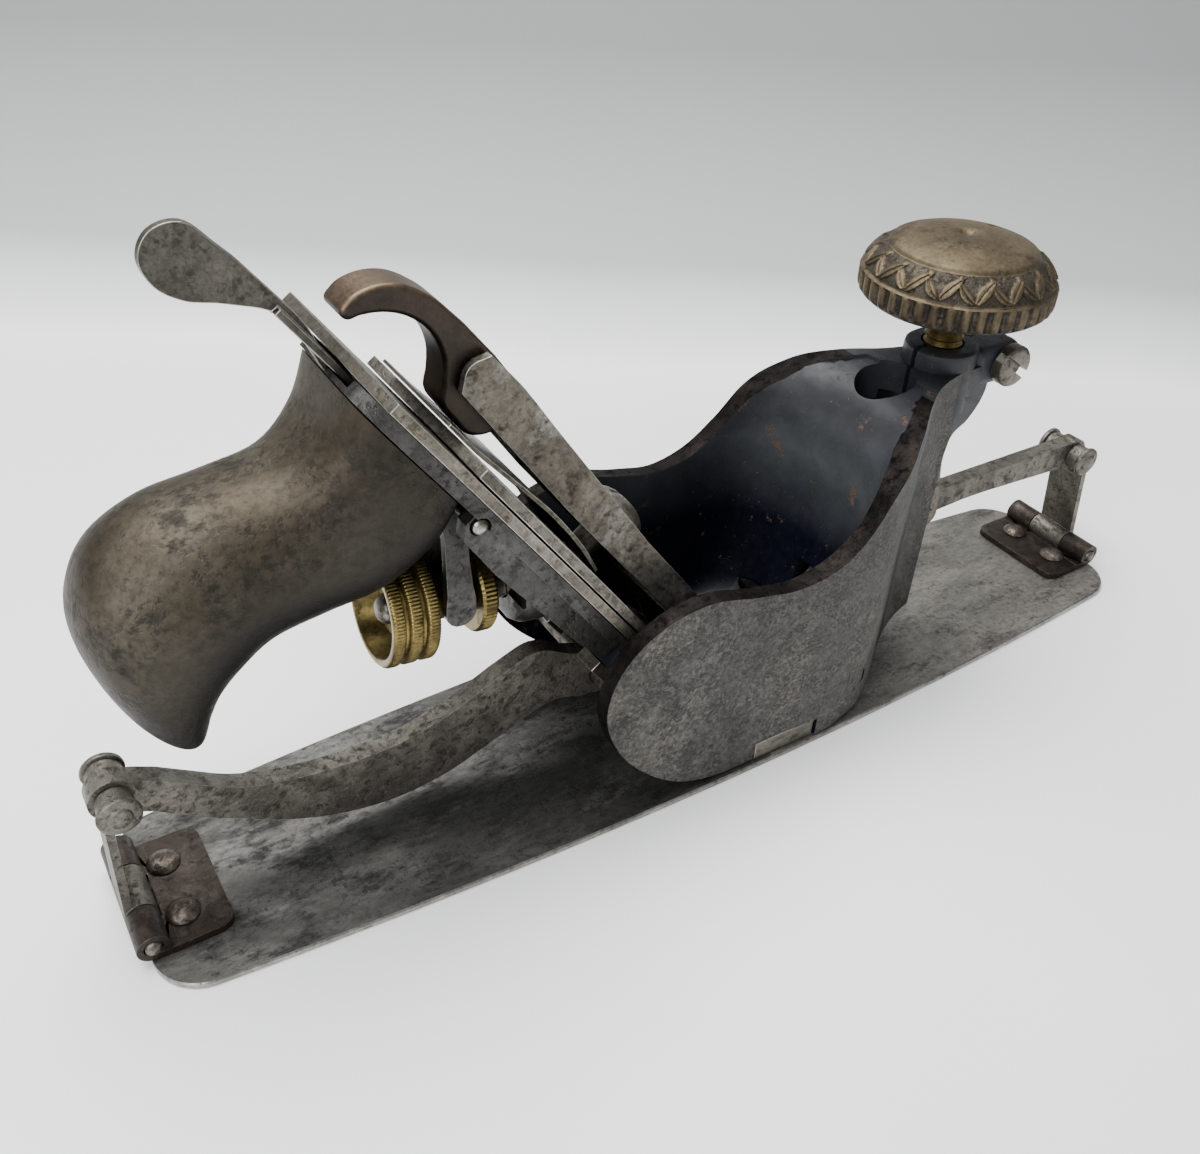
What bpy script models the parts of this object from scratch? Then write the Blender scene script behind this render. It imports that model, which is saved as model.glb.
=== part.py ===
"""Flexible-sole circular hand plane, built in Blender 4.5 as separate pieces.

Frame: +X towards the toe, +Y towards the left side, +Z up. The origin is the middle
of the sole's underside. Helpers take millimetres; the objects are in metres.
"""

import math

import bmesh
import bpy
from mathutils import Matrix, Vector

MM = 0.001
GAP = 0.3                      # clearance between touching pieces

# Sole
SOLE_HALF_LENGTH = 127.0
SOLE_THICK = 1.5
SOLE_HALF_WIDTH_MIDDLE = 28.0
SOLE_HALF_WIDTH_END = 21.9
SOLE_CORNER = 8.8
TOE_FLEX_X = 22.0
HEEL_FLEX_X = -12.0
MOUTH = (1.2, 6.0)             # back and front edge of the mouth slot, underneath
MOUTH_HALF_WIDTH = 23.4
BLOCK = (-1.0, 15.5)           # mouth block on the sole
BLOCK_TOP = 6.5

# Body casting
BODY_HALF_WIDTH = 27.0
WALL = 3.6
DECK_Z = 72.6
BOSS_X = 61.5
BOSS_RADIUS = 8.2
BOSS_TOP = 77.0
RELIEF_HOLE_X = 46.0
RELIEF_HOLE_RADIUS = 6.6
CLAMP_X, CLAMP_Z = 75.0, 72.0

# Bed: u runs up the bed from the cutting edge, v stands off the iron's upper face
BED_ANGLE = math.radians(53.3)
EDGE_X = 2.95
IRON_HALF_WIDTH = 22.2
IRON_THICK = 2.0
IRON_TOP_U = 132.0
FROG_FACE_V = -2.3
FROG_BACK_V = -4.9
CAP_SCREW_U = 62.5             # lever-cap screw
CHIP_SCREW_U = 80.0            # screw joining iron and cap iron
LATERAL_PIVOT_U = 124.0
ROLLER_U = 112.0
BOLT_U = 44.0                  # frog bolts, through the cross bar
HANDLE_SCREWS = (112.0, 11.4)  # u, and y on either side
CAM_PIVOT = (106.5, 11.6)      # u, v
YOKE_U = 98.7                  # where the yoke's tongue crosses the cap iron

# Linkage, as (x, z)
FRONT_PIVOT = (28.0, 12.0)
REAR_PIVOT = (-26.0, 19.0)
TOE_JOINT = (121.0, 32.3)
HEEL_JOINT = (-125.0, 32.0)
TOE_HINGE = (125.4, 5.0)
HEEL_HINGE = (-126.2, 5.0)
LINK_TOP = (61.5, 50.5)
LINK_FOOT = (64.8, 32.3)
ARM_HALF_THICK = 2.0
SHAFT_RADIUS = 2.5
SECTOR_Y = (27.5, 30.0)
SECTOR_TEETH = 60              # teeth of the full circle that each sector is cut from

# Depth adjuster
YOKE_PIVOT = (-60.4, 75.8)
STUD_TILT = math.radians(-5.7)
YOKE_FOOT = (-60.2, 51.3)      # middle of the prongs' round ends
WHEEL_END = (-75.2, 52.8)      # heel face of the wheel, on the stud's axis
WHEEL_RADIUS = 10.7

# Knob
KNOB_RIM_RADIUS = 20.8
KNOB_RIM_Z = 88.0
SCREW_RADIUS = 4.5

PARTS = "hand_plane"
CUTTERS = "cutters"

SIDE = Matrix.Rotation(math.pi / 2, 4, "X")          # local (x, y) to world (x, z)
LEVEL = Matrix.Identity(4)


def bed_vectors():
    up = Vector((-math.cos(BED_ANGLE), 0.0, math.sin(BED_ANGLE)))
    out = Vector((math.sin(BED_ANGLE), 0.0, math.cos(BED_ANGLE)))
    return up, out


def frame_matrix(x_axis, y_axis, z_axis, origin):
    """The matrix with these axes, its origin in millimetres."""
    matrix = Matrix((x_axis, y_axis, z_axis)).transposed().to_4x4()
    matrix.translation = Vector(origin) * MM
    return matrix


def bed_side():
    """Local (x, y) is (u, v), and local z is world +Y."""
    up, out = bed_vectors()
    return frame_matrix(up, out, Vector((0, 1, 0)), (EDGE_X, 0, 0))


def bed_face():
    """Local x is u, local y is world -Y, and local z is v."""
    up, out = bed_vectors()
    return frame_matrix(up, Vector((0, -1, 0)), out, (EDGE_X, 0, 0))


def bed_point(u, v):
    """World (x, z) in millimetres of a point on the bed's middle plane."""
    up, out = bed_vectors()
    return EDGE_X + up.x * u + out.x * v, up.z * u + out.z * v


def axis_matrix(origin, direction):
    """Local z along the direction, with the origin in millimetres."""
    matrix = Vector(direction).to_track_quat("Z", "Y").to_matrix().to_4x4()
    matrix.translation = Vector(origin) * MM
    return matrix


def collection(name, hidden=False):
    made = bpy.data.collections.new(name)
    bpy.context.scene.collection.children.link(made)
    made.hide_render = hidden
    return made


def clear_scene():
    for obj in list(bpy.data.objects):
        bpy.data.objects.remove(obj, do_unlink=True)
    for made in list(bpy.data.collections):
        bpy.data.collections.remove(made)
    collection(PARTS)
    collection(CUTTERS, hidden=True)


def new_object(name, mesh):
    obj = bpy.data.objects.new(name, mesh)
    bpy.data.collections[PARTS].objects.link(obj)
    return obj


def from_bmesh(name, bm, matrix):
    bmesh.ops.transform(bm, matrix=matrix, verts=bm.verts)
    bmesh.ops.recalc_face_normals(bm, faces=bm.faces)
    mesh = bpy.data.meshes.new(name)
    bm.to_mesh(mesh)
    bm.free()
    return new_object(name, mesh)


def box(name, low, high, matrix=LEVEL):
    """A block between two corners, in millimetres of the matrix's frame."""
    low, high = Vector(low), Vector(high)
    bm = bmesh.new()
    bmesh.ops.create_cube(bm, size=1.0)
    bmesh.ops.scale(bm, vec=(high - low) * MM, verts=bm.verts)
    bmesh.ops.translate(bm, vec=(low + high) / 2 * MM, verts=bm.verts)
    return from_bmesh(name, bm, matrix)


def cylinder(name, radius, start, end, matrix=LEVEL, segments=24, radius_end=None):
    """A cylinder or cone along the matrix's z axis, from start to end."""
    bm = bmesh.new()
    bmesh.ops.create_cone(
        bm, cap_ends=True, segments=segments, radius1=radius * MM,
        radius2=(radius if radius_end is None else radius_end) * MM, depth=(end - start) * MM,
    )
    bmesh.ops.translate(bm, vec=(0, 0, (start + end) / 2 * MM), verts=bm.verts)
    return from_bmesh(name, bm, matrix)


def cross_pin(name, radius, place, low_y, high_y, segments=20):
    """A cylinder along world Y at (x, z) = place."""
    matrix = axis_matrix((place[0], 0, place[1]), (0, 1, 0))
    return cylinder(name, radius, low_y, high_y, matrix, segments)


def plate(name, points, low, high, matrix=LEVEL, smooth=True, resolution=4):
    """A closed outline in the matrix's xy plane, extruded from low to high along its z.

    A smooth outline keeps a sharp corner at a point that has a third number.
    """
    curve = bpy.data.curves.new(name, "CURVE")
    curve.dimensions = "2D"
    curve.fill_mode = "BOTH"
    curve.extrude = (high - low) / 2 * MM
    curve.resolution_u = resolution
    spline = curve.splines.new("BEZIER" if smooth else "POLY")
    spline.use_cyclic_u = True
    if smooth:
        spline.bezier_points.add(len(points) - 1)
        for knot, point in zip(spline.bezier_points, points):
            knot.co = (point[0] * MM, point[1] * MM, 0)
            knot.handle_left_type = knot.handle_right_type = "VECTOR" if len(point) > 2 else "AUTO"
    else:
        spline.points.add(len(points) - 1)
        for knot, point in zip(spline.points, points):
            knot.co = (point[0] * MM, point[1] * MM, 0, 1)
    guide = bpy.data.objects.new(name + "_outline", curve)
    bpy.data.collections[PARTS].objects.link(guide)
    graph = bpy.context.evaluated_depsgraph_get()
    mesh = bpy.data.meshes.new_from_object(guide.evaluated_get(graph))
    mesh.name = name
    bpy.data.objects.remove(guide)
    bm = bmesh.new()
    bm.from_mesh(mesh)
    bmesh.ops.remove_doubles(bm, verts=bm.verts, dist=0.00002)
    bmesh.ops.translate(bm, vec=(0, 0, (low + high) / 2 * MM), verts=bm.verts)
    bpy.data.meshes.remove(mesh)
    return from_bmesh(name, bm, matrix)


def turned(name, profile, matrix=LEVEL, steps=24, bored=False):
    """A profile of (radius, height) turned about the matrix's z. A bored one is a closed loop."""
    mesh = bpy.data.meshes.new(name)
    mesh.from_pydata(
        [(radius * MM, 0, height * MM) for radius, height in profile],
        [(i, (i + 1) % len(profile)) for i in range(len(profile) - (0 if bored else 1))], [],
    )
    obj = new_object(name, mesh)
    screw = obj.modifiers.new("turn", "SCREW")
    screw.steps = screw.render_steps = steps
    screw.use_merge_vertices = True
    screw.merge_threshold = 0.00001
    screw.use_normal_calculate = True
    graph = bpy.context.evaluated_depsgraph_get()
    solid = bpy.data.meshes.new_from_object(obj.evaluated_get(graph))
    bpy.data.objects.remove(obj)
    bm = bmesh.new()
    bm.from_mesh(solid)
    bmesh.ops.remove_doubles(bm, verts=bm.verts, dist=0.00001)
    bpy.data.meshes.remove(solid)
    return from_bmesh(name, bm, matrix)


def loft(name, rings):
    """Skin between rings of equal length, with both ends closed. Points in millimetres."""
    bm = bmesh.new()
    rows = [[bm.verts.new(Vector(point) * MM) for point in ring] for ring in rings]
    count = len(rows[0])
    for row, following in zip(rows, rows[1:]):
        for i in range(count):
            j = (i + 1) % count
            bm.faces.new((row[i], row[j], following[j], following[i]))
    bm.faces.new(reversed(rows[0]))
    bm.faces.new(rows[-1])
    return from_bmesh(name, bm, LEVEL)


def boolean(obj, tool, operation):
    step = obj.modifiers.new(operation.lower() + "_" + tool.name, "BOOLEAN")
    step.operation = operation
    step.object = tool
    step.solver = "EXACT"
    bpy.data.collections[PARTS].objects.unlink(tool)
    bpy.data.collections[CUTTERS].objects.link(tool)
    tool.hide_render = True
    tool.display_type = "WIRE"
    return obj


def cut(obj, *tools):
    for tool in tools:
        boolean(obj, tool, "DIFFERENCE")
    return obj


def join(obj, *tools):
    for tool in tools:
        boolean(obj, tool, "UNION")
    return obj


def keep(obj, tool):
    return boolean(obj, tool, "INTERSECT")


def set_origin(obj, x, y, z):
    """Moves the object's origin to a point in millimetres, leaving its shape in place."""
    place = Vector((x, y, z)) * MM
    obj.data.transform(Matrix.Translation(-place))
    obj.location = place


def material(name, colour, roughness, metallic=1.0):
    found = bpy.data.materials.get(name)
    if found is None:
        found = bpy.data.materials.new(name)
        found.use_nodes = True
        shader = found.node_tree.nodes["Principled BSDF"]
        shader.inputs["Base Color"].default_value = (*colour, 1)
        shader.inputs["Roughness"].default_value = roughness
        shader.inputs["Metallic"].default_value = metallic
        found.diffuse_color = (*colour, 1)
    return found


def paint(obj, finish):
    looks = {
        "sole_steel": ((0.24, 0.23, 0.21), 0.42),
        "bright_steel": ((0.45, 0.44, 0.42), 0.35),
        "rusty_steel": ((0.22, 0.15, 0.11), 0.6),
        "handle_iron": ((0.23, 0.19, 0.15), 0.4),
        "japanned_iron": ((0.02, 0.022, 0.03), 0.3, 0.2),
        "knob_bronze": ((0.3, 0.25, 0.17), 0.42),
        "old_brass": ((0.55, 0.42, 0.16), 0.35),
    }
    obj.data.materials.clear()
    obj.data.materials.append(material(finish, *looks[finish]))
    return obj


# ---------------------------------------------------------------- sole

def sole_half_width(x):
    bulge = SOLE_HALF_WIDTH_MIDDLE - SOLE_HALF_WIDTH_END
    return SOLE_HALF_WIDTH_END + bulge * (1 - (x / SOLE_HALF_LENGTH) ** 2)


def sole_edge(start, end, steps):
    """Right-hand edge points from start to end, with a round corner at an outer end."""
    points = []
    for i in range(steps + 1):
        x = start + (end - start) * i / steps
        width = sole_half_width(x)
        past = abs(x) - (SOLE_HALF_LENGTH - SOLE_CORNER)
        if past > 0:
            width -= SOLE_CORNER - math.sqrt(max(SOLE_CORNER ** 2 - past ** 2, 0))
        points.append((x, -width))
    return points


def sole_section(name, start, end):
    inner = end if abs(end) < abs(start) else start
    outer = start if inner == end else end
    corner = math.copysign(SOLE_HALF_LENGTH - SOLE_CORNER, outer)
    edge = sole_edge(inner, corner, 8)
    for i in range(1, 7):
        turn = math.radians(15 * i)
        x = corner + math.copysign(SOLE_CORNER * math.sin(turn), outer)
        width = sole_half_width(x) - SOLE_CORNER * (1 - math.cos(turn))
        edge.append((x, -width))
    outline = edge + [(x, -y) for x, y in reversed(edge)]
    obj = plate(name, outline, 0, SOLE_THICK, smooth=False)
    set_origin(obj, inner, 0, SOLE_THICK / 2)
    return paint(obj, "sole_steel")


def make_sole():
    half_gap = GAP / 2
    edge = sole_edge(HEEL_FLEX_X + half_gap, TOE_FLEX_X - half_gap, 6)
    outline = edge + [(x, -y) for x, y in reversed(edge)]
    middle = plate("sole_middle", outline, 0, SOLE_THICK, smooth=False)
    slope = [(MOUTH[0] + 1.86, -1), (MOUTH[1], -1), (MOUTH[1], 3), (MOUTH[0] - 5.58, 3)]
    cut(middle, plate("mouth_cut", slope, -MOUTH_HALF_WIDTH, MOUTH_HALF_WIDTH, SIDE, smooth=False))
    paint(middle, "sole_steel")
    sole_section("sole_toe", TOE_FLEX_X + half_gap, SOLE_HALF_LENGTH)
    sole_section("sole_heel", -SOLE_HALF_LENGTH, HEEL_FLEX_X - half_gap)
    block = box(
        "mouth_block", (BLOCK[0], -BODY_HALF_WIDTH, SOLE_THICK + GAP),
        (BLOCK[1], BODY_HALF_WIDTH, BLOCK_TOP),
    )
    throat = box("throat_cut", (-4, -MOUTH_HALF_WIDTH, 0), (7, MOUTH_HALF_WIDTH, 9))
    paint(cut(block, throat), "bright_steel")


def make_hinge(end, place, joint):
    """Leaf, pin, rivets and link plate of the hinge at one end of the sole."""
    side = 1 if place[0] > 0 else -1
    leaf_low, leaf_high = SOLE_THICK + GAP, SOLE_THICK + GAP + 1.5
    barrel, pin_radius = 3.0, 1.5
    inner = place[0] - side * 14.8
    outer = place[0] - side * 3.6
    leaf = box(
        end + "_hinge_leaf", (min(inner, outer), -13.4, leaf_low), (max(inner, outer), 13.4, leaf_high),
    )
    for left in (-1, 1):
        near, far = sorted((left * 5.5, left * 13.4))
        knuckle = cross_pin("knuckle", barrel, place, near, far, 16)
        reach = sorted((outer - side * 1.0, place[0]))
        tongue = box("tongue", (reach[0], near, leaf_low + 0.1), (reach[1], far, leaf_high + 0.1))
        join(leaf, tongue, knuckle)
    cut(leaf, cross_pin("pin_hole", pin_radius + GAP, place, -20, 20, 16))
    paint(leaf, "rusty_steel")
    set_origin(leaf, place[0], 0, place[1])
    pin = cross_pin(end + "_hinge_pin", pin_radius, place, -14.2, 14.2, 16)
    set_origin(pin, place[0], 0, place[1])
    paint(pin, "bright_steel")
    for left, word in ((-1, "right"), (1, "left")):
        centre = (place[0] - side * 6.8, left * 6.6, 0)
        head = [(0, 1.6), (1.8, 1.25), (2.9, 0.5), (3.2, 0), (0, 0)]
        rivet = turned(
            end + "_rivet_" + word, head,
            Matrix.Translation(Vector((centre[0], centre[1], leaf_high + GAP)) * MM), 16,
        )
        paint(rivet, "rusty_steel")
    link = end_link(end, place, joint, barrel, pin_radius)
    set_origin(link, place[0], 0, place[1])
    paint(link, "rusty_steel")


def end_link(end, place, joint, barrel, pin_radius):
    """The upright strap on the outer side of a hinge pin and an arm's eye, with a forked top."""
    side = 1 if place[0] > 0 else -1
    rise = Vector((joint[0] - place[0], 0, joint[1] - place[1]))
    length = rise.length
    across = Vector((0, 1, 0))
    upright = frame_matrix(across.cross(rise.normalized()), across, rise.normalized(), (place[0], 0, place[1]))
    near, far = sorted((1.2 * side, 2.75 * side))
    strap = box(end + "_link", (near, -5.2, -0.6), (far, 5.2, length + 0.7), upright)
    join(strap, cross_pin("foot", barrel, place, -5.2, 5.2, 16))
    join(strap, cross_pin("head", 3.3, joint, -5.2, 5.2, 16))
    fork = box("fork_cut", (-5, -ARM_HALF_THICK - GAP, length - 6.5), (5, ARM_HALF_THICK + GAP, length + 6), upright)
    cut(strap, cross_pin("foot_hole", pin_radius + GAP, place, -20, 20, 16))
    cut(strap, cross_pin("head_hole", 2.3, joint, -20, 20, 16))
    return cut(strap, fork)


# ---------------------------------------------------------------- body casting

def body_plan(inset=0.0):
    """Right half of the casting's outline seen from above, from the heel to the nose."""
    half = [
        (-48, BODY_HALF_WIDTH - inset, 1), (0, BODY_HALF_WIDTH - inset), (23, BODY_HALF_WIDTH - inset),
        (30.5 - inset * 0.5, 25.2 - inset * 0.95), (37 - inset * 0.7, 21.2 - inset * 0.8),
        (44.5 - inset * 0.7, 15.4 - inset * 0.8), (51.5 - inset * 0.7, 11.0 - inset * 0.8),
        (58 - inset * 0.6, 8.6 - inset * 0.8),
    ]
    return half


def mirrored(half, nose):
    return [(p[0], -p[1], *p[2:]) for p in half] + nose + list(reversed(half))


def body_side():
    """The casting's outline seen from the side: cheek, rim, nose and foot."""
    return [
        (20, 2.0, 1), (-7, 2.0, 1), (-19.5, 4.6), (-30.6, 12.9), (-37.6, 22.5), (-40.6, 33.5), (-37.4, 43),
        (-30, 49.2), (-19, 51.6), (-6.5, 48.8), (5, 47.0), (14.5, 49.4), (21.5, 54.8), (27.5, 61.8),
        (33, 66.4), (39.5, 70.4), (47, 72.4), (54, DECK_Z), (70, DECK_Z, 1), (71, 66), (67, 59.5),
        (62.5, 56.8), (61.2, 52, 1), (61.2, 9, 1),
    ]


def throat_side():
    """Side outline of the chip throat, open to the heel."""
    return [
        (-60, -3, 1), (9, -3, 1), (9, 9.4, 1), (16, 13.4), (24, 20.5),
        (30.5, 29), (33.4, 40), (34, 52), (34.6, 60), (36, 66.5), (39.2, 71), (42.5, 73.2, 1),
        (42.5, 90, 1), (-60, 90, 1),
    ]


def make_body():
    body = plate("body_casting", body_side(), -BODY_HALF_WIDTH - 1, BODY_HALF_WIDTH + 1, SIDE, resolution=3)
    nose = [(66, -7.6), (71, -7.2, 1), (71, 7.2, 1), (66, 7.6)]
    keep(body, plate("body_plan", mirrored(body_plan(), nose), 0, 90, resolution=3))
    join(body, cylinder("boss", BOSS_RADIUS, 62, BOSS_TOP, Matrix.Translation((BOSS_X * MM, 0, 0))))
    join(body, box("lugs", (66, -7.6, 66.8), (79.6, 6.9, 76.4)))
    throat_nose = [(42.5, -11.5), (43.5, 0), (42.5, 11.5)]
    throat_plan = plate(
        "throat_plan", mirrored(body_plan(WALL)[:4] + [(36.8, 17.6)], throat_nose), -5, 95, resolution=3,
    )
    throat = plate("throat", throat_side(), -40, 40, SIDE, resolution=3)
    keep(throat, throat_plan)
    cut(body, throat)
    make_body_seats(body)
    make_body_hollows(body)
    paint(body, "japanned_iron")


def make_body_seats(body):
    """The sloping rest and the cross bar that carry the frog."""
    rest = [bed_point(7.2, FROG_BACK_V - GAP), bed_point(22, FROG_BACK_V - GAP), (-19.5, 11.5), (-19.5, 2.7)]
    width = BODY_HALF_WIDTH - WALL / 2
    join(body, plate("frog_rest", rest, -width, width, SIDE, smooth=False))
    low, high = FROG_BACK_V - 4.2, FROG_BACK_V - GAP
    bar = box("cross_bar", (BOLT_U - 5, -width, low), (BOLT_U + 5, width, high), bed_face())
    join(body, bar)
    for y in (-9, 9):
        cut(body, cylinder("bolt_hole", 1.9, low - 2, high + 2, bed_face() @ shift(BOLT_U, y), 12))


def make_body_hollows(body):
    """Shaft holes, block notch, arm pocket, link channel, screw bore, slit and relief hole."""
    notch = box("notch", (BLOCK[0] - GAP, -40, -2), (BLOCK[1] + GAP, 40, BLOCK_TOP + GAP))
    cut(body, notch)
    for place in (FRONT_PIVOT, REAR_PIVOT):
        cut(body, cross_pin("shaft_hole", SHAFT_RADIUS + GAP, place, -25.5, 40, 20))
    pocket = [(38.5, -15.5), (45, -10.6), (52, -6.4), (52, 6.4), (45, 10.6), (38.5, 15.5)]
    cut(body, plate("pocket", pocket, -5, 63, smooth=False))
    slot = [
        (20.5, 4.6), (30, 4.6), (45, -3), (80, -3), (80, 46), (52, 46), (34, 28), (24, 17.5), (20.5, 13.5),
    ]
    cut(body, plate("arm_slot", slot, -ARM_HALF_THICK - 0.8, ARM_HALF_THICK + 0.8, SIDE, smooth=False))
    cut(body, box("channel", (50, -6.3, -3), (90, 6.3, 65.5)))
    upright = Matrix.Translation((BOSS_X * MM, 0, 0))
    cut(body, cylinder("screw_bore", SCREW_RADIUS + GAP, 50, 90, upright))
    relief = Matrix.Translation((RELIEF_HOLE_X * MM, 0, 0))
    cut(body, cylinder("relief_hole", RELIEF_HOLE_RADIUS, 55, 90, relief))
    cut(body, box("slit", (RELIEF_HOLE_X, -0.6, 50), (90, 0.6, 90)))
    cut(body, cross_pin("clamp_hole", 2.1 + GAP, (CLAMP_X, CLAMP_Z), -20, 20, 16))


# ---------------------------------------------------------------- frog, handle, iron

def make_frog():
    foot = 2.3
    side = [
        (bed_u(foot, FROG_FACE_V), FROG_FACE_V), (131, FROG_FACE_V),
        (131, FROG_BACK_V), (bed_u(foot, FROG_BACK_V), FROG_BACK_V),
    ]
    width = 20.5
    frog = plate("frog", side, -width, width, bed_side(), smooth=False)
    outline = [
        (0, -width, 1), (40, -width, 1), (70, -17), (110, -15.4), (126, -14.5), (131.5, -9), (131.5, 9),
        (126, 14.5), (110, 15.4), (70, 17), (40, width, 1), (0, width, 1),
    ]
    keep(frog, plate("frog_outline", outline, -30, 30, bed_face(), resolution=3))
    web = [(51, -4), (100.8, -4), (100.8, -7), (98.5, -9.2), (88, -9.9), (60, -9.3), (51, -8.6)]
    for low, high in ((-15, -11.8), (11.8, 15)):
        join(frog, plate("web", web, low, high, bed_side(), smooth=False))
    make_stud_boss(frog)
    slot = box("frog_slot", (69, -7.8, -12), (103, 7.8, 2), bed_face())
    recess = box("lever_recess", (104, -8.4, FROG_BACK_V + 0.9), (140, 8.4, 3), bed_face())
    lever_screw = cylinder("lever_screw_hole", 3.0 + GAP, -20, 9, bed_face() @ shift(CAP_SCREW_U, 0), 16)
    pivot = cylinder("pivot_hole", 1.3 + GAP, -9, 5, bed_face() @ shift(LATERAL_PIVOT_U, 0), 12)
    yoke_hole = cross_pin("yoke_hole", 1.6 + GAP, YOKE_PIVOT, -20, 20, 12)
    cut(frog, slot, recess, lever_screw, pivot, yoke_hole)
    for y in (-9, 9):
        cut(frog, cylinder("frog_bolt_hole", 1.9, -9, 5, bed_face() @ shift(BOLT_U, y), 12))
    reach, aside = HANDLE_SCREWS
    for y in (-aside, aside):
        sink = [(0, 3), (3.4, 3), (3.4, -2.9), (1.8, -3.9), (1.8, -9), (0, -9)]
        cut(frog, turned("handle_screw_hole", sink, bed_face() @ shift(reach, y), 16))
    paint(frog, "bright_steel")


def make_frog_screws():
    """Square-headed bolts through the cross bar and sunk screws into the handle."""
    for y, word in ((-9, "left"), (9, "right")):
        place = bed_face() @ shift(BOLT_U, y)
        bolt = box("frog_bolt_" + word, (-3, -3, -12.2), (3, 3, -9.4), place)
        paint(join(bolt, cylinder("bolt_shank", 1.6, -9.8, FROG_FACE_V - GAP, place, 12)), "bright_steel")
    reach, aside = HANDLE_SCREWS
    for y, word in ((-aside, "left"), (aside, "right")):
        profile = [(0, -2.6), (3.0, -2.6), (1.5, -4.1), (1.5, -12.5), (0, -12.5)]
        paint(turned("handle_screw_" + word, profile, bed_face() @ shift(reach, y), 16), "bright_steel")


def shift(u, y):
    return Matrix.Translation((u * MM, y * MM, 0))


def bed_u(z, v):
    """The u at height z on the layer v."""
    return (z - v * math.cos(BED_ANGLE)) / math.sin(BED_ANGLE)


def stud_matrix():
    direction = (math.cos(STUD_TILT), 0, math.sin(STUD_TILT))
    return axis_matrix((WHEEL_END[0], 0, WHEEL_END[1]), direction)


def make_stud_boss(frog):
    """Round boss on the frog's back that holds the depth stud."""
    profile = [(0, 26.5), (5.6, 26.5), (7.6, 27.4), (8.6, 29.2), (8.6, 46), (0, 46)]
    boss = turned("stud_boss", profile, stud_matrix(), 28)
    join(frog, keep(boss, box("behind_face", (0, -9, -30), (104, 9, FROG_BACK_V + 0.6), bed_face())))
    cut(frog, cylinder("stud_hole", 2.9 + GAP, 20, 36, stud_matrix(), 16))


HANDLE_SECTIONS = [            # top (x, z), bottom (x, z), half-width, squareness
    (bed_point(130.2, FROG_BACK_V - GAP), bed_point(101.6, FROG_BACK_V - GAP), 15.2, 4.5),
    ((-82.8, 94.2), (-66.0, 70.6), 14.9, 3.4),
    ((-89.6, 89.0), (-74.4, 63.4), 14.4, 2.6),
    ((-99.8, 87.6), (-84.4, 60.8), 14.4, 2.2),
    ((-110.0, 86.2), (-93.4, 58.8), 15.2, 2),
    ((-118.4, 81.4), (-99.2, 55.4), 16.0, 2),
    ((-122.8, 74.4), (-103.4, 51.6), 16.0, 2),
    ((-123.9, 66.4), (-105.8, 47.8), 15.6, 2),
    ((-121.4, 56.2), (-107.0, 44.8), 13.8, 2),
    ((-117.0, 47.6), (-107.8, 42.4), 10.0, 2),
    ((-112.8, 41.6), (-109.0, 40.2), 4.6, 2),
]


def superellipse(turn, power):
    """Point at this turn on a unit outline that is round at power 2 and squarer above it."""
    c, s = math.cos(turn), math.sin(turn)
    return math.copysign(abs(c) ** (2 / power), c), math.copysign(abs(s) ** (2 / power), s)


def make_handle():
    """Hand grip, a loft of elliptical sections that ends flat against the frog."""
    rings = []
    for top, bottom, half_width, power in HANDLE_SECTIONS:
        middle = ((top[0] + bottom[0]) / 2, (top[1] + bottom[1]) / 2)
        rise = ((top[0] - bottom[0]) / 2, (top[1] - bottom[1]) / 2)
        ring = []
        for i in range(24):
            high, aside = superellipse(2 * math.pi * i / 24, power)
            ring.append((middle[0] + rise[0] * high, half_width * aside, middle[1] + rise[1] * high))
        rings.append(ring)
    handle = loft("handle", rings)
    cut(handle, cylinder("handle_pocket", 6.5, -30, 2, bed_face() @ shift(114.5, 0), 20))
    cut(handle, cylinder("wheel_clearance", WHEEL_RADIUS + 0.9, -6.5, 24, stud_matrix(), 32))
    cut(handle, box("yoke_clearance", (-66.5, -10, 40), (-50, 10, 90)))
    reach, apart = HANDLE_SCREWS
    for y in (-apart, apart):
        cut(handle, cylinder("handle_thread", 1.8, -13, 2, bed_face() @ shift(reach, y), 12))
    paint(handle, "handle_iron")


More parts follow.
